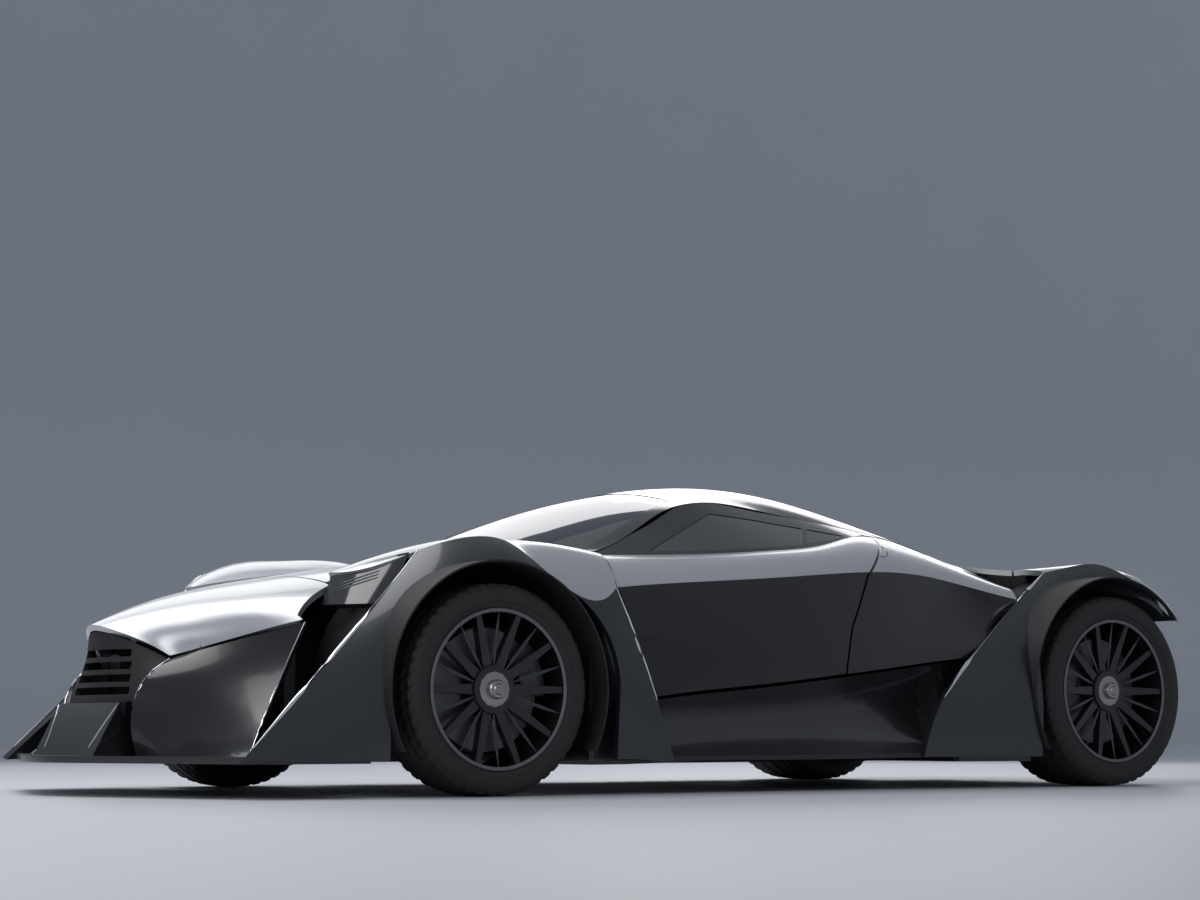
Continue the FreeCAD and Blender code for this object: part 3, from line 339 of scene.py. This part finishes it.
def gridMesh(name, rows, closedRows=False, closedCols=False):
    made = bmesh.new()
    verts = [[made.verts.new(p) for p in row] for row in rows]
    countRows, countCols = len(verts), len(verts[0])
    for i in range(countRows if closedRows else countRows - 1):
        for j in range(countCols if closedCols else countCols - 1):
            a, b = verts[i], verts[(i + 1) % countRows]
            k = (j + 1) % countCols
            made.faces.new((a[j], a[k], b[k], b[j]))
    bmesh.ops.remove_doubles(made, verts=made.verts, dist=1e-6)
    bmesh.ops.recalc_face_normals(made, faces=made.faces)
    mesh = bpy.data.meshes.new(name)
    made.to_mesh(mesh)
    made.free()
    return mesh


def splinePath(points, count):
    # Catmull-Rom through the points, evenly sampled by index
    pts = [Vector(p) for p in points]
    pts = [pts[0] * 2 - pts[1]] + pts + [pts[-1] * 2 - pts[-2]]
    spans = len(pts) - 3
    out = []
    for n in range(count):
        t = spans * n / (count - 1)
        k = min(int(t), spans - 1)
        u = t - k
        a, b, c, d = pts[k:k + 4]
        out.append(0.5 * ((2 * b) + (c - a) * u + (2 * a - 5 * b + 4 * c - d) * u * u
                          + (3 * b - a - 3 * c + d) * u ** 3))
    return out


surfaceTrees = {}


def onNode(node, point):
    # The nearest point of a node's surface and its outward normal
    if node not in surfaceTrees:
        made = bmesh.new()
        made.from_mesh(nodes[node].data)
        surfaceTrees[node] = BVHTree.FromBMesh(made)
        made.free()
    place, normal, _, _ = surfaceTrees[node].find_nearest(Vector(point))
    return place, normal


def strip(name, path, sides, width, height, paint, body):
    # A crowned band along a path: sides gives the outward direction at each point
    rows = []
    for k, (point, out) in enumerate(zip(path, sides)):
        ahead = path[min(k + 1, len(path) - 1)] - path[max(k - 1, 0)]
        ahead.normalize()
        cross = ahead.cross(out).normalized()
        taper = min(1.0, 0.25 + 3.0 * min(k, len(path) - 1 - k) / len(path))
        row = []
        for n in range(8):
            turn = 2 * math.pi * n / 8
            row.append(point + cross * (math.cos(turn) * width / 2 * taper)
                       + out * (math.sin(turn) * height / 2))
        rows.append(row)
    mesh = gridMesh(name, rows, closedCols=True)
    smooth(mesh, 1.2)
    return newPiece(name, mesh, paint, body)


# A painted edge highlight: a bright strip laid on a node's surface along the points, mirrored
# to both sides
def edgeHighlightLine(name, node, points, width, paint, body, lift=0.0005):
    path, sides = [], []
    for point in splinePath(points, 28):
        place, normal = onNode(node, point)
        path.append(place + normal * lift)
        sides.append(normal)
    for side in (-1, 1):
        flipped = [Vector((p.x, p.y * -side, p.z)) for p in path]
        turned = [Vector((s.x, s.y * -side, s.z)) for s in sides]
        strip(name + ("Left" if side > 0 else "Right"), flipped, turned, width, 0.005,
              paint, body)


def fore(x, y, z):
    return (frontAxle + x / 1000, y / 1000, z / 1000)


def aft(x, y, z):
    return (rearAxle + x / 1000, y / 1000, z / 1000)


# Bright edge lines: strips painted along the blade, cheek and chin edges as painted edge
# highlights, standing in for light caught on those edges

edgeHighlightLine("frontBladeLip", "front_blades",
        [fore(-167, -740, 770), fore(-407, -820, 545), fore(-637, -865, 326),
         fore(-820, -895, 150)], 0.012, trimAndHighlightPaint, "body")
edgeHighlightLine("trailLip", "front_blades",
        [fore(462, -945, 665), fore(533, -966, 480), fore(603, -975, 303)],
        0.012, trimAndHighlightPaint, "body")
edgeHighlightLine("rearBladeLip", "rear_blades",
        [aft(-123, -735, 800), aft(-323, -800, 686), aft(-677, -920, 467),
         aft(-847, -955, 322)], 0.014, trimAndHighlightPaint, "body")
edgeHighlightLine("cheekLip", "cheeks",
        [fore(-791, -270, 435), fore(-897, -270, 330), fore(-897, -270, 140)],
        0.009, trimAndHighlightPaint, "body")
edgeHighlightLine("cheekBackLip", "cheeks",
        [fore(-507, -630, 540), fore(-622, -662, 330), fore(-797, -822, 130)],
        0.009, trimAndHighlightPaint, "body")
edgeHighlightLine("chinLip", "chin",
        [(-2.146, -0.230, 0.289), (-2.165, -0.210, 0.253), (-2.185, -0.193, 0.215),
         (-2.204, -0.179, 0.178), (-2.218, -0.171, 0.150)], 0.006, trimAndHighlightPaint, "body")
print("stage: edge lines made")


# Tyres with tread blocks

def tyre(name, node, axleX, wheelY, radius, width, rim, body):
    look = {"segments": 192, "blocks": 48, "groove": 0.007}
    half = width / 2
    profile = [
        (rim + 0.0005, -half + 0.016), (rim + 0.012, -half + 0.008),
        (rim + 0.018, -half + 0.006), (rim + 0.020, -half + 0.002),
        (rim + 0.030, -half + 0.001), (radius - 0.040, -half + 0.000),
        (radius - 0.030, -half + 0.001), (radius - 0.018, -half + 0.006),
        (radius - 0.010, -half + 0.014)]
    crown = []
    count = 22
    for k in range(count + 1):
        y = -half + 0.022 + (width - 0.044) * k / count
        edge = abs(y) / half
        crown.append((radius - 0.006 * edge ** 3, y))
    profile = profile + crown + [(r, -y) for r, y in reversed(profile)]
    grooves = [-0.30, -0.11, 0.11, 0.30]
    rows = []
    for n in range(look["segments"]):
        turn = 2 * math.pi * n / look["segments"]
        row = []
        for r, y in profile:
            share = y / width
            if r > radius - 0.012:
                if min(abs(share - g) for g in grooves) < 0.022:
                    r -= look["groove"]
                elif abs(share) > 0.12:
                    slant = n / look["segments"] * look["blocks"] + abs(share) * 3.0
                    if slant % 1.0 < 0.26:
                        r -= look["groove"] * 0.75
            row.append(Vector((axleX + r * math.cos(turn), wheelY + y,
                               radius + r * math.sin(turn))))
        rows.append(row)
    mesh = gridMesh(name, rows, closedRows=True)
    smooth(mesh, 0.5)
    obj = newPiece(name, mesh, finishes["tyre"], body)
    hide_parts(node)
    return obj


wheels = {
    "front": {"x": frontAxle, "y": 0.8585, "radius": 0.332, "width": 0.245, "rim": 0.254},
    "rear": {"x": rearAxle, "y": 0.8235, "radius": 0.352, "width": 0.315, "rim": 0.266},
}
for end, w in wheels.items():
    for side, sign in (("left", -1), ("right", 1)):
        tyre(f"tread_{end}_{side}", f"tyre_{end}_{side}", w["x"], sign * w["y"],
             w["radius"], w["width"], w["rim"], f"wheel_{end}_{side}")
print("stage: tyres made")


def trimmedTub():
    # The tub, with its rear posts drawn in behind the flanks and the quarter panels
    look = {"front": 0.735, "back": 0.785, "inner": 0.46, "sink": 0.026}
    mesh = nodes["tub"].data.copy()
    mesh.name = "tubTrimmed"
    for vert in mesh.vertices:
        p = vert.co.copy()
        if not look["front"] < p.x < look["back"] or abs(p.y) < look["inner"]:
            continue
        core = Vector((p.x, math.copysign(look["inner"], p.y), 0.5))
        found = [onNode(n, p) for n in ("rear_flanks", "quarter_panels", "side_skirts")]
        place = min((f[0] for f in found), key=lambda f: (f - p).length)
        if (p - core).length > (place - core).length - look["sink"]:
            vert.co = place + (core - place).normalized() * look["sink"]
            vert.co.x = p.x
    mesh.materials.clear()
    obj = newPiece("tubTrimmed", mesh, finishes[slotOf["tub"]], "body")
    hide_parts("tub")


trimmedTub()


def turned(name, profile, centre, axis, paint, body, slot, steps=96, start=0.0, end=360.0):
    # A profile of (radius, offset along the axis) pairs, closed, swept round the axis
    full = end - start >= 360.0
    count = steps if full else steps + 1
    rows = []
    for n in range(count):
        turn = math.radians(start + (end - start) * n / steps)
        c, s = math.cos(turn), math.sin(turn)
        if axis == "Y":
            rows.append([Vector((centre[0] + r * c, centre[1] + a, centre[2] + r * s))
                         for r, a in profile])
        else:
            rows.append([Vector((centre[0] + a, centre[1] + r * c, centre[2] + r * s))
                         for r, a in profile])
    if not full:
        for k, row in ((0, rows[0]), (-1, rows[-1])):
            core = sum(row, Vector()) / len(row)
            inset = [core + (p - core) * 0.05 for p in row]
            rows = [inset] + rows if k == 0 else rows + [inset]
    mesh = gridMesh(name, rows, closedRows=full, closedCols=True)
    smooth(mesh, 0.55)
    return newPiece(name, mesh, paint, body)


def brakeIron():
    p = Paint("brakeIron")
    score = p.noise(30.0, 5.0, 0.6, (6.0, 1.0, 6.0))
    return p.finish(
        BaseColor=p.mix(score, (0.10, 0.10, 0.105), (0.20, 0.20, 0.21)), Metallic=0.9,
        Roughness=score * 0.2 + 0.28, Normal=p.bump(score, 0.08, 0.0008))


def calliperPaint():
    p = Paint("calliperPaint")
    dust = p.noise(18.0, 6.0, 0.6)
    return p.finish(
        BaseColor=p.mix(dust, (0.085, 0.088, 0.095), (0.045, 0.045, 0.048)), Metallic=0.4,
        Roughness=dust * 0.25 + 0.3, Normal=p.bump(p.noise(240.0), 0.08, 0.0008),
        CoatWeight=0.5, CoatRoughness=0.1)


ironPaint, pistonPaint = brakeIron(), calliperPaint()


def wheelParts(end, side, sign, w):
    look = {"hub": 0.937, "disc": 0.1962, "discOut": 0.8738, "discIn": 0.8402,
            "spokes": 10, "sector": 54}
    name = f"{end}_{side}"
    body, x, z = f"wheel_{name}", w["x"], w["radius"]
    hub = look["hub"] * sign
    nut = [(0.001, 0.030), (0.016, 0.030), (0.019, 0.026), (0.027, 0.024), (0.031, 0.019),
           (0.031, 0.005), (0.050, 0.004), (0.056, 0.001), (0.056, -0.004), (0.001, -0.004)]
    turned("hubNut_" + name, [(r, a * sign) for r, a in nut], (x, hub, z), "Y",
           finishes["steel"], body, "steel", 12)
    ring = [(w["rim"] - 0.013, 0.0), (w["rim"] - 0.009, 0.0026), (w["rim"] - 0.003, 0.0026),
            (w["rim"] - 0.0005, 0.0), (w["rim"] - 0.004, -0.004), (w["rim"] - 0.011, -0.004)]
    edge = w["y"] + w["width"] / 2 - 0.014
    turned("rimLip_" + name, [(r, a * sign) for r, a in ring], (x, edge * sign, z), "Y",
           finishes["cast"], body, "cast", 128)
    disc = [(0.088, 0.8745), (0.100, 0.8745), (0.102, look["discOut"]),
            (look["disc"] - 0.002, look["discOut"]), (look["disc"], 0.872),
            (look["disc"], 0.863), (0.188, 0.862), (0.188, 0.852), (look["disc"], 0.851),
            (look["disc"], 0.842), (look["disc"] - 0.002, look["discIn"]), (0.088, 0.8402)]
    turned("brakeDisc_" + name, [(r, a * sign) for r, a in disc], (x, 0.0, z), "Y",
           ironPaint, body, "cast", 96)
    block = [(0.125, 0.8765), (0.125, 0.898), (0.136, 0.904), (0.150, 0.907), (0.190, 0.907),
             (0.208, 0.903), (0.216, 0.894), (0.217, 0.862), (0.216, 0.832), (0.204, 0.823),
             (0.125, 0.824), (0.030, 0.826), (0.030, 0.8375), (0.199, 0.8375), (0.199, 0.8765)]
    middleTurn = 22.0 if end == "front" else 158.0
    carrier = f"knuckle_{side}" if end == "front" else "body"
    turned("calliper_" + name, [(r, a * sign) for r, a in block], (x, 0.0, z), "Y",
           pistonPaint, carrier, "cast", 30, middleTurn - look["sector"] / 2,
           middleTurn + look["sector"] / 2)
    half = w["width"] / 2
    for k in range(look["spokes"]):
        turn = 2 * math.pi * k / look["spokes"]
        path, sides = [], []
        for n in range(9):
            r = 0.066 + (w["rim"] - 0.012 - 0.066) * n / 8
            y = w["y"] + half - 0.052 + 0.032 * (r - 0.063) / (w["rim"] - 0.068)
            path.append(Vector((x + r * math.sin(turn), sign * (y + 0.0006),
                                z + r * math.cos(turn))))
            sides.append(Vector((0, sign, 0)))
        strip(f"spokeEdge{k}_{name}", path, sides, 0.011, 0.0036, finishes["graphite"], body)


for end, w in wheels.items():
    for side, sign in (("left", -1), ("right", 1)):
        wheelParts(end, side, sign, w)
print("stage: brakes, nuts and rim edges made")


# Seats: crowned pads with sewn channels, piping and harness

def cushion(name, base, y, half, thick, channels):
    look = {"across": 40, "along": 46, "square": 0.42, "channel": 0.30, "waist": 0.035}
    line = splinePath([(x, y, z) for x, z in base], look["along"])
    rows = []
    for i, point in enumerate(line):
        v = i / (look["along"] - 1)
        ahead = line[min(i + 1, len(line) - 1)] - line[max(i - 1, 0)]
        up = Vector((-ahead.z, 0, ahead.x)).normalized()
        close = (1 - abs(2 * v - 1) ** 7) ** 0.5
        width = half * (0.93 + 0.07 * close) * (1 - look["waist"] * math.sin(math.pi * v))
        row = []
        for n in range(look["across"]):
            turn = 2 * math.pi * n / look["across"]
            c, s = math.cos(turn), math.sin(turn)
            u = math.copysign(abs(c) ** look["square"], c)
            h = math.copysign(abs(s) ** 0.6, s) * thick / 2
            if s > 0:
                sewn = sum(math.exp(-((v - k) / 0.012) ** 2) for k in channels)
                sewn = min(1.0, sewn) if abs(u) < 0.66 else 0.0
                sewn = max(sewn, math.exp(-((abs(u) - 0.66) / 0.03) ** 2))
                h *= 1 - look["channel"] * sewn
                h += thick * 0.16 * (1 - (u / 0.66) ** 2 if abs(u) < 0.66 else 0.0)
            row.append(point + up * (thick / 2 + h * max(close, 0.12))
                       + Vector((0, u * width, 0)))
        rows.append(row)
    for k, row in ((0, rows[0]), (-1, rows[-1])):
        core = sum(row, Vector()) / len(row)
        inset = [core + (p - core) * 0.04 for p in row]
        rows = [inset] + rows if k == 0 else rows + [inset]
    mesh = gridMesh(name, rows, closedCols=True)
    smooth(mesh, 1.0)
    obj = newPiece(name, mesh, finishes["seat"], "body")
    return obj


def webbing():
    p = Paint("webbing")
    weave = ((p.axis(0) + p.axis(2)) * 2600.0).wave() * (p.axis(1) * 2600.0).wave() * 0.5 + 0.5
    return p.finish(
        BaseColor=p.mix(weave, (0.055, 0.057, 0.062), (0.10, 0.103, 0.11)),
        Roughness=weave * 0.15 + 0.6, Normal=p.bump(weave, 0.3, 0.0005))


strapPaint = webbing()


def seatDress(side, y):
    look = {"half": 0.168, "base": 0.052, "back": 0.048, "rest": 0.032, "strap": 0.048}
    cushion("seatBase_" + side, [(-0.182, 0.2925), (-0.04, 0.281), (0.10, 0.2635),
                                 (0.232, 0.267)], y, look["half"], look["base"],
            (0.2, 0.36, 0.52, 0.68, 0.84))
    cushion("seatBack_" + side, [(0.338, 0.338), (0.394, 0.47), (0.455, 0.614),
                                 (0.518, 0.762)], y, look["half"], look["back"],
            (0.16, 0.30, 0.44, 0.58, 0.72, 0.86))
    cushion("headPad_" + side, [(0.5375, 0.786), (0.552, 0.83), (0.5665, 0.872)], y, 0.074,
            look["rest"], (0.5,))
    spots = [(0.497, 0.786), (0.455, 0.742), (0.400, 0.620), (0.336, 0.480), (0.283, 0.376),
             (0.235, 0.338), (0.150, 0.334)]
    for hand in (-1, 1):
        spread = (0.072, 0.072, 0.070, 0.062, 0.050, 0.036, 0.020)
        path = splinePath([(x, y + hand * s, z) for (x, z), s in zip(spots, spread)], 40)
        sides = []
        for k in range(len(path)):
            ahead = path[min(k + 1, 39)] - path[max(k - 1, 0)]
            sides.append(Vector((ahead.z, 0, -ahead.x)).normalized())
        strip(f"shoulderStrap{'Outer' if hand > 0 else 'Inner'}_{side}", path, sides,
              look["strap"], 0.004, strapPaint, "body")
        lap = splinePath([(0.262, y + hand * 0.172, 0.30), (0.235, y + hand * 0.150, 0.336),
                          (0.185, y + hand * 0.080, 0.338), (0.150, y + hand * 0.022, 0.338)],
                         24)
        strip(f"lapStrap{'Outer' if hand > 0 else 'Inner'}_{side}", lap,
              [Vector((-0.2, 0, 1)).normalized()] * 24, look["strap"], 0.004, strapPaint,
              "body")
    buckle = [(0.001, 0.0), (0.012, 0.001), (0.024, -0.002), (0.029, -0.007), (0.029, -0.014),
              (0.001, -0.014)]
    rows = []
    for n in range(40):
        turn = 2 * math.pi * n / 40
        rows.append([Vector((0.148 + r * math.cos(turn), y + r * math.sin(turn), 0.350 + a))
                     for r, a in buckle])
    mesh = gridMesh("buckle_" + side, rows, closedRows=True, closedCols=True)
    smooth(mesh, 0.5)
    newPiece("buckle_" + side, mesh, finishes["cast"], "body")


seatDress("left", -0.34)
seatDress("right", 0.34)
print("stage: seats made")


# The round flap on the left quarter panel

def flapRing():
    look = {"centre": (0.562, -0.752, 0.846), "radius": 0.052, "width": 0.0045}
    place, normal = onNode("quarter_panels", look["centre"])
    ahead = Vector((1, 0, 0)).cross(normal).normalized()
    level = normal.cross(ahead)
    path, sides = [], []
    for n in range(65):
        turn = 2 * math.pi * n / 64
        spot, out = onNode("quarter_panels", place + ahead * (math.cos(turn) * look["radius"])
                           + level * (math.sin(turn) * look["radius"]))
        path.append(spot + out * 0.0002)
        sides.append(out)
    strip("flapRing", path, sides, look["width"], 0.0022, finishes["gloss_black"], "body")
    inner = [place + (p - place) * 0.93 for p in path]
    strip("flapEdge", inner, sides, 0.0020, 0.0016, trimAndHighlightPaint, "body")


flapRing()


# Lamps: light guides in the front slots and behind the tail lens

def guideLight(name, colour, strength):
    p = Paint(name)
    cell = p.noise(40.0, 2.0)
    return p.finish(
        BaseColor=p.mix(cell, colour, tuple(c * 0.8 for c in colour)),
        Roughness=cell * 0.1 + 0.15, EmissionColor=p.mix(cell, colour, colour),
        EmissionStrength=strength, CoatWeight=0.6, CoatRoughness=0.05)


def lampDress():
    look = {"guides": 3, "tailRows": (0.662, 0.674)}
    white = guideLight("whiteGuide", (0.10, 0.11, 0.125), 0.10)
    red = guideLight("redGuide", (0.55, 0.02, 0.015), 0.35)
    for side in (-1, 1):
        hand = "left" if side < 0 else "right"
        for k in range(look["guides"]):
            share = k / (look["guides"] - 1)
            path, sides = [], []
            for point in splinePath([(-1.562, side * 0.560, 0.636 + 0.030 * share),
                                     (-1.520, side * 0.620, 0.658 + 0.030 * share),
                                     (-1.475, side * 0.680, 0.680 + 0.030 * share)], 20):
                place, normal = onNode("headlamps", point)
                path.append(place + normal * 0.0006)
                sides.append(normal)
            strip(f"lampGuide{k}_{hand}", path, sides, 0.006, 0.004, white, "body")
    for k, z in enumerate(look["tailRows"]):
        path, sides = [], []
        for point in splinePath([(2.20, -0.565, z), (2.27, -0.3, z), (2.28, 0.0, z),
                                 (2.27, 0.3, z), (2.20, 0.565, z)], 60):
            place, normal = onNode("tail_lamp", point)
            path.append(place + normal * 0.0004)
            sides.append(normal)
        strip(f"tailGuide{k}", path, sides, 0.004, 0.003, red, "body")


lampDress()
print("stage: flap and lamps made")


# Exhaust tips

for side, hand in ((-1, "left"), (1, "right")):
    sleeve = [(0.0535, -0.075), (0.0540, -0.004), (0.0525, 0.0005), (0.0490, 0.0005),
              (0.0470, -0.004), (0.0470, -0.060), (0.0525, -0.075)]
    turned("exhaustTip_" + hand, sleeve, (2.311, side * 0.120, 0.440), "X",
           finishes["steel"], "body", "steel", 96)


# Dashboard and steering wheel

def plate(name, centre, right, up, width, height, thick, corner, paint):
    # A rounded, crowned plate in the plane of right and up
    right, up = Vector(right).normalized(), Vector(up).normalized()
    out = right.cross(up)
    rows = []
    for inset, lift in ((0.0, -thick), (0.0, 0.0), (0.0015, 0.0012), (0.004, 0.0018),
                        (height * 0.42, 0.0030)):
        row = []
        for k in range(4):
            sx, sy = ((1, 1), (-1, 1), (-1, -1), (1, -1))[k]
            cx, cy = width / 2 - corner, height / 2 - corner
            for n in range(6):
                turn = math.pi / 2 * (k + n / 5)
                x = sx * cx + corner * math.cos(turn)
                y = sy * cy + corner * math.sin(turn)
                share = 1 - inset / (height / 2)
                row.append(Vector(centre) + right * (x - sx * inset if abs(x) > inset else 0)
                           + up * (y * share) + out * lift)
        rows.append(row)
    core = sum(rows[-1], Vector()) / 24
    rows.append([core + (p - core) * 0.02 for p in rows[-1]])
    mesh = gridMesh(name, rows, closedCols=True)
    smooth(mesh, 0.6)
    return newPiece(name, mesh, paint, "body")


def screenPaint(name, centre):
    p = Paint(name)
    y, z = p.axis(1) - centre[1], p.axis(2) - centre[2]
    reach = (y * y + z * z) ** 0.5
    ring = (reach * 520.0).wave().above(0.93)
    film = p.noise(30.0, 3.0)
    return p.finish(
        BaseColor=p.mix(film, (0.010, 0.011, 0.013), (0.018, 0.019, 0.022)),
        EmissionColor=p.mix(ring, (0.004, 0.006, 0.009), (0.20, 0.30, 0.42)),
        EmissionStrength=0.5, Roughness=film * 0.05 + 0.06, CoatWeight=0.8,
        CoatRoughness=0.02)


def cabinDress():
    look = {"dial": (-0.471, -0.34, 0.690), "screen": (-0.379, 0.0, 0.672)}
    dial = screenPaint("dialScreen", look["dial"])
    rim = [(0.001, 0.002), (0.070, 0.003), (0.086, 0.002), (0.0915, 0.000), (0.0915, -0.010),
           (0.001, -0.010)]
    turned("dial", rim, look["dial"], "X", dial, "body", "lamp", 72)
    plate("centreScreen", look["screen"], (0, 1, 0), (-0.06, 0, 1), 0.27, 0.085, 0.010, 0.010,
          screenPaint("centreScreen", look["screen"]))
    for k, y in enumerate((-0.545, -0.205, 0.205, 0.545)):
        for blade in range(4):
            plate(f"vent{k}Blade{blade}", (-0.3800, y, 0.652 + blade * 0.014),
                  (0, 1, 0), (0.35, 0, 1), 0.085, 0.008, 0.010, 0.003,
                  finishes["inner_black"])


def wheelTrim():
    look = {"centre": (-0.170, -0.340, 0.668), "rake": 20.0, "grip": 0.165, "tube": 0.0180}
    place = Matrix.Translation(look["centre"]) @ Matrix.Rotation(
        math.radians(look["rake"]), 4, "Y")
    for k, (start, end) in enumerate(((-38, 48), (132, 218))):
        rows = []
        for n in range(37):
            turn = math.radians(start + (end - start) * n / 36)
            ease = min(1.0, 0.35 + min(n, 36 - n) / 4)
            row = []
            for m in range(14):
                lean = 2 * math.pi * m / 14
                swell = look["tube"] * (0.88 + 0.12 * ease) * (1.0 if lean < 3.5 else 1.04)
                r = look["grip"] + swell * math.sin(lean)
                row.append(place @ Vector((swell * math.cos(lean), r * math.cos(turn),
                                           r * math.sin(turn))))
            rows.append(row)
        mesh = gridMesh(f"wheelGrip{k}", rows, closedCols=True)
        smooth(mesh, 1.0)
        newPiece(f"wheelGrip{k}", mesh, finishes["seat"], "body")
    cap = [(0.001, 0.016), (0.030, 0.015), (0.046, 0.012), (0.0535, 0.006), (0.0535, -0.004),
           (0.001, -0.004)]
    rows = []
    for n in range(64):
        turn = 2 * math.pi * n / 64
        rows.append([place @ Vector((0.010 + a, r * math.cos(turn), r * math.sin(turn)))
                     for r, a in cap])
    mesh = gridMesh("bossCap", rows, closedRows=True, closedCols=True)
    smooth(mesh, 0.5)
    newPiece("bossCap", mesh, finishes["seat"], "body")


cabinDress()
wheelTrim()
print("stage: cabin made")


# Floor, light and camera

def stageFloor():
    look = {"colour": (0.60, 0.62, 0.66), "reach": 30.0, "sweep": 8.0, "top": 40.0,
            "columns": (-60.0, -20.0, 0.0, 20.0, 60.0)}
    p = Paint("studioFloor")
    cloud = p.noise(0.6, 3.0)
    p.finish(BaseColor=p.mix(cloud, look["colour"], tuple(c * 1.04 for c in look["colour"])),
             Roughness=cloud * 0.1 + 0.45)
    rows = []
    for k in range(40):
        if k < 26:
            y, z = look["reach"] * (2 * k / 25 - 1), 0.0
        else:
            turn = math.pi / 2 * (k - 25) / 14
            y = look["reach"] + look["sweep"] * math.sin(turn)
            z = look["sweep"] * (1 - math.cos(turn))
        rows.append([Vector((x, y, z)) for x in look["columns"]])
    back = look["reach"] + look["sweep"]
    rows.append([Vector((x, back, look["top"])) for x in look["columns"]])
    obj = bpy.data.objects.new("studioFloor", gridMesh("studioFloor", rows))
    bpy.context.scene.collection.objects.link(obj)
    obj.data.materials.append(p.material)
    smooth(obj.data, 1.5)


def softBox(name, place, target, width, depth, power, colour=(1.0, 1.0, 1.0)):
    light = bpy.data.lights.new(name, "AREA")
    light.shape = "RECTANGLE"
    light.size, light.size_y = width, depth
    light.energy = power
    light.color = colour
    obj = bpy.data.objects.new(name, light)
    obj.location = place
    obj.rotation_mode = "QUATERNION"
    away = Vector(place) - Vector(target)
    obj.rotation_quaternion = away.to_track_quat("Z", "Y")
    bpy.context.scene.collection.objects.link(obj)


stageFloor()
softBox("overhead", (-2.2, 1.2, 5.0), (-0.6, 0.0, 0.5), 4.4, 3.4, 140.0)
softBox("farGlow", (1.0, 7.5, 4.6), (0.0, 0.0, 0.6), 10.0, 3.4, 150.0)
softBox("frontGlow", (-7.0, -3.5, 3.4), (-1.0, 0.0, 0.5), 4.0, 3.0, 85.0)
softBox("rearGlow", (5.6, 4.8, 3.2), (1.0, 0.0, 0.6), 4.0, 3.0, 85.0)

world = bpy.data.worlds.new("studio")
bpy.context.scene.world = world
world.use_nodes = True
sky = {"colour": (0.62, 0.67, 0.75, 1.0), "strength": 0.45}
backing = world.node_tree.nodes["Background"]
backing.inputs[0].default_value = sky["colour"]
backing.inputs[1].default_value = sky["strength"]

cameraSet = {"place": (-5.592, -7.72, 0.20), "yaw": 0.615, "pitch": 0.109,
             "lens": 77.27, "sensor": 36.0, "far": 300.0}
camera = bpy.data.cameras.new("camera")
camera.sensor_width = cameraSet["sensor"]
camera.lens = cameraSet["lens"]
cameraObject = bpy.data.objects.new("camera", camera)
bpy.context.scene.collection.objects.link(cameraObject)
cameraObject.location = cameraSet["place"]
cameraObject.rotation_mode = "XYZ"
cameraObject.rotation_euler = (math.pi / 2 + cameraSet["pitch"], 0.0, -cameraSet["yaw"])
camera.clip_end = cameraSet["far"]
bpy.context.scene.camera = cameraObject
bpy.context.scene.view_settings.view_transform = "Standard"
print("stage: floor, lights and camera set")
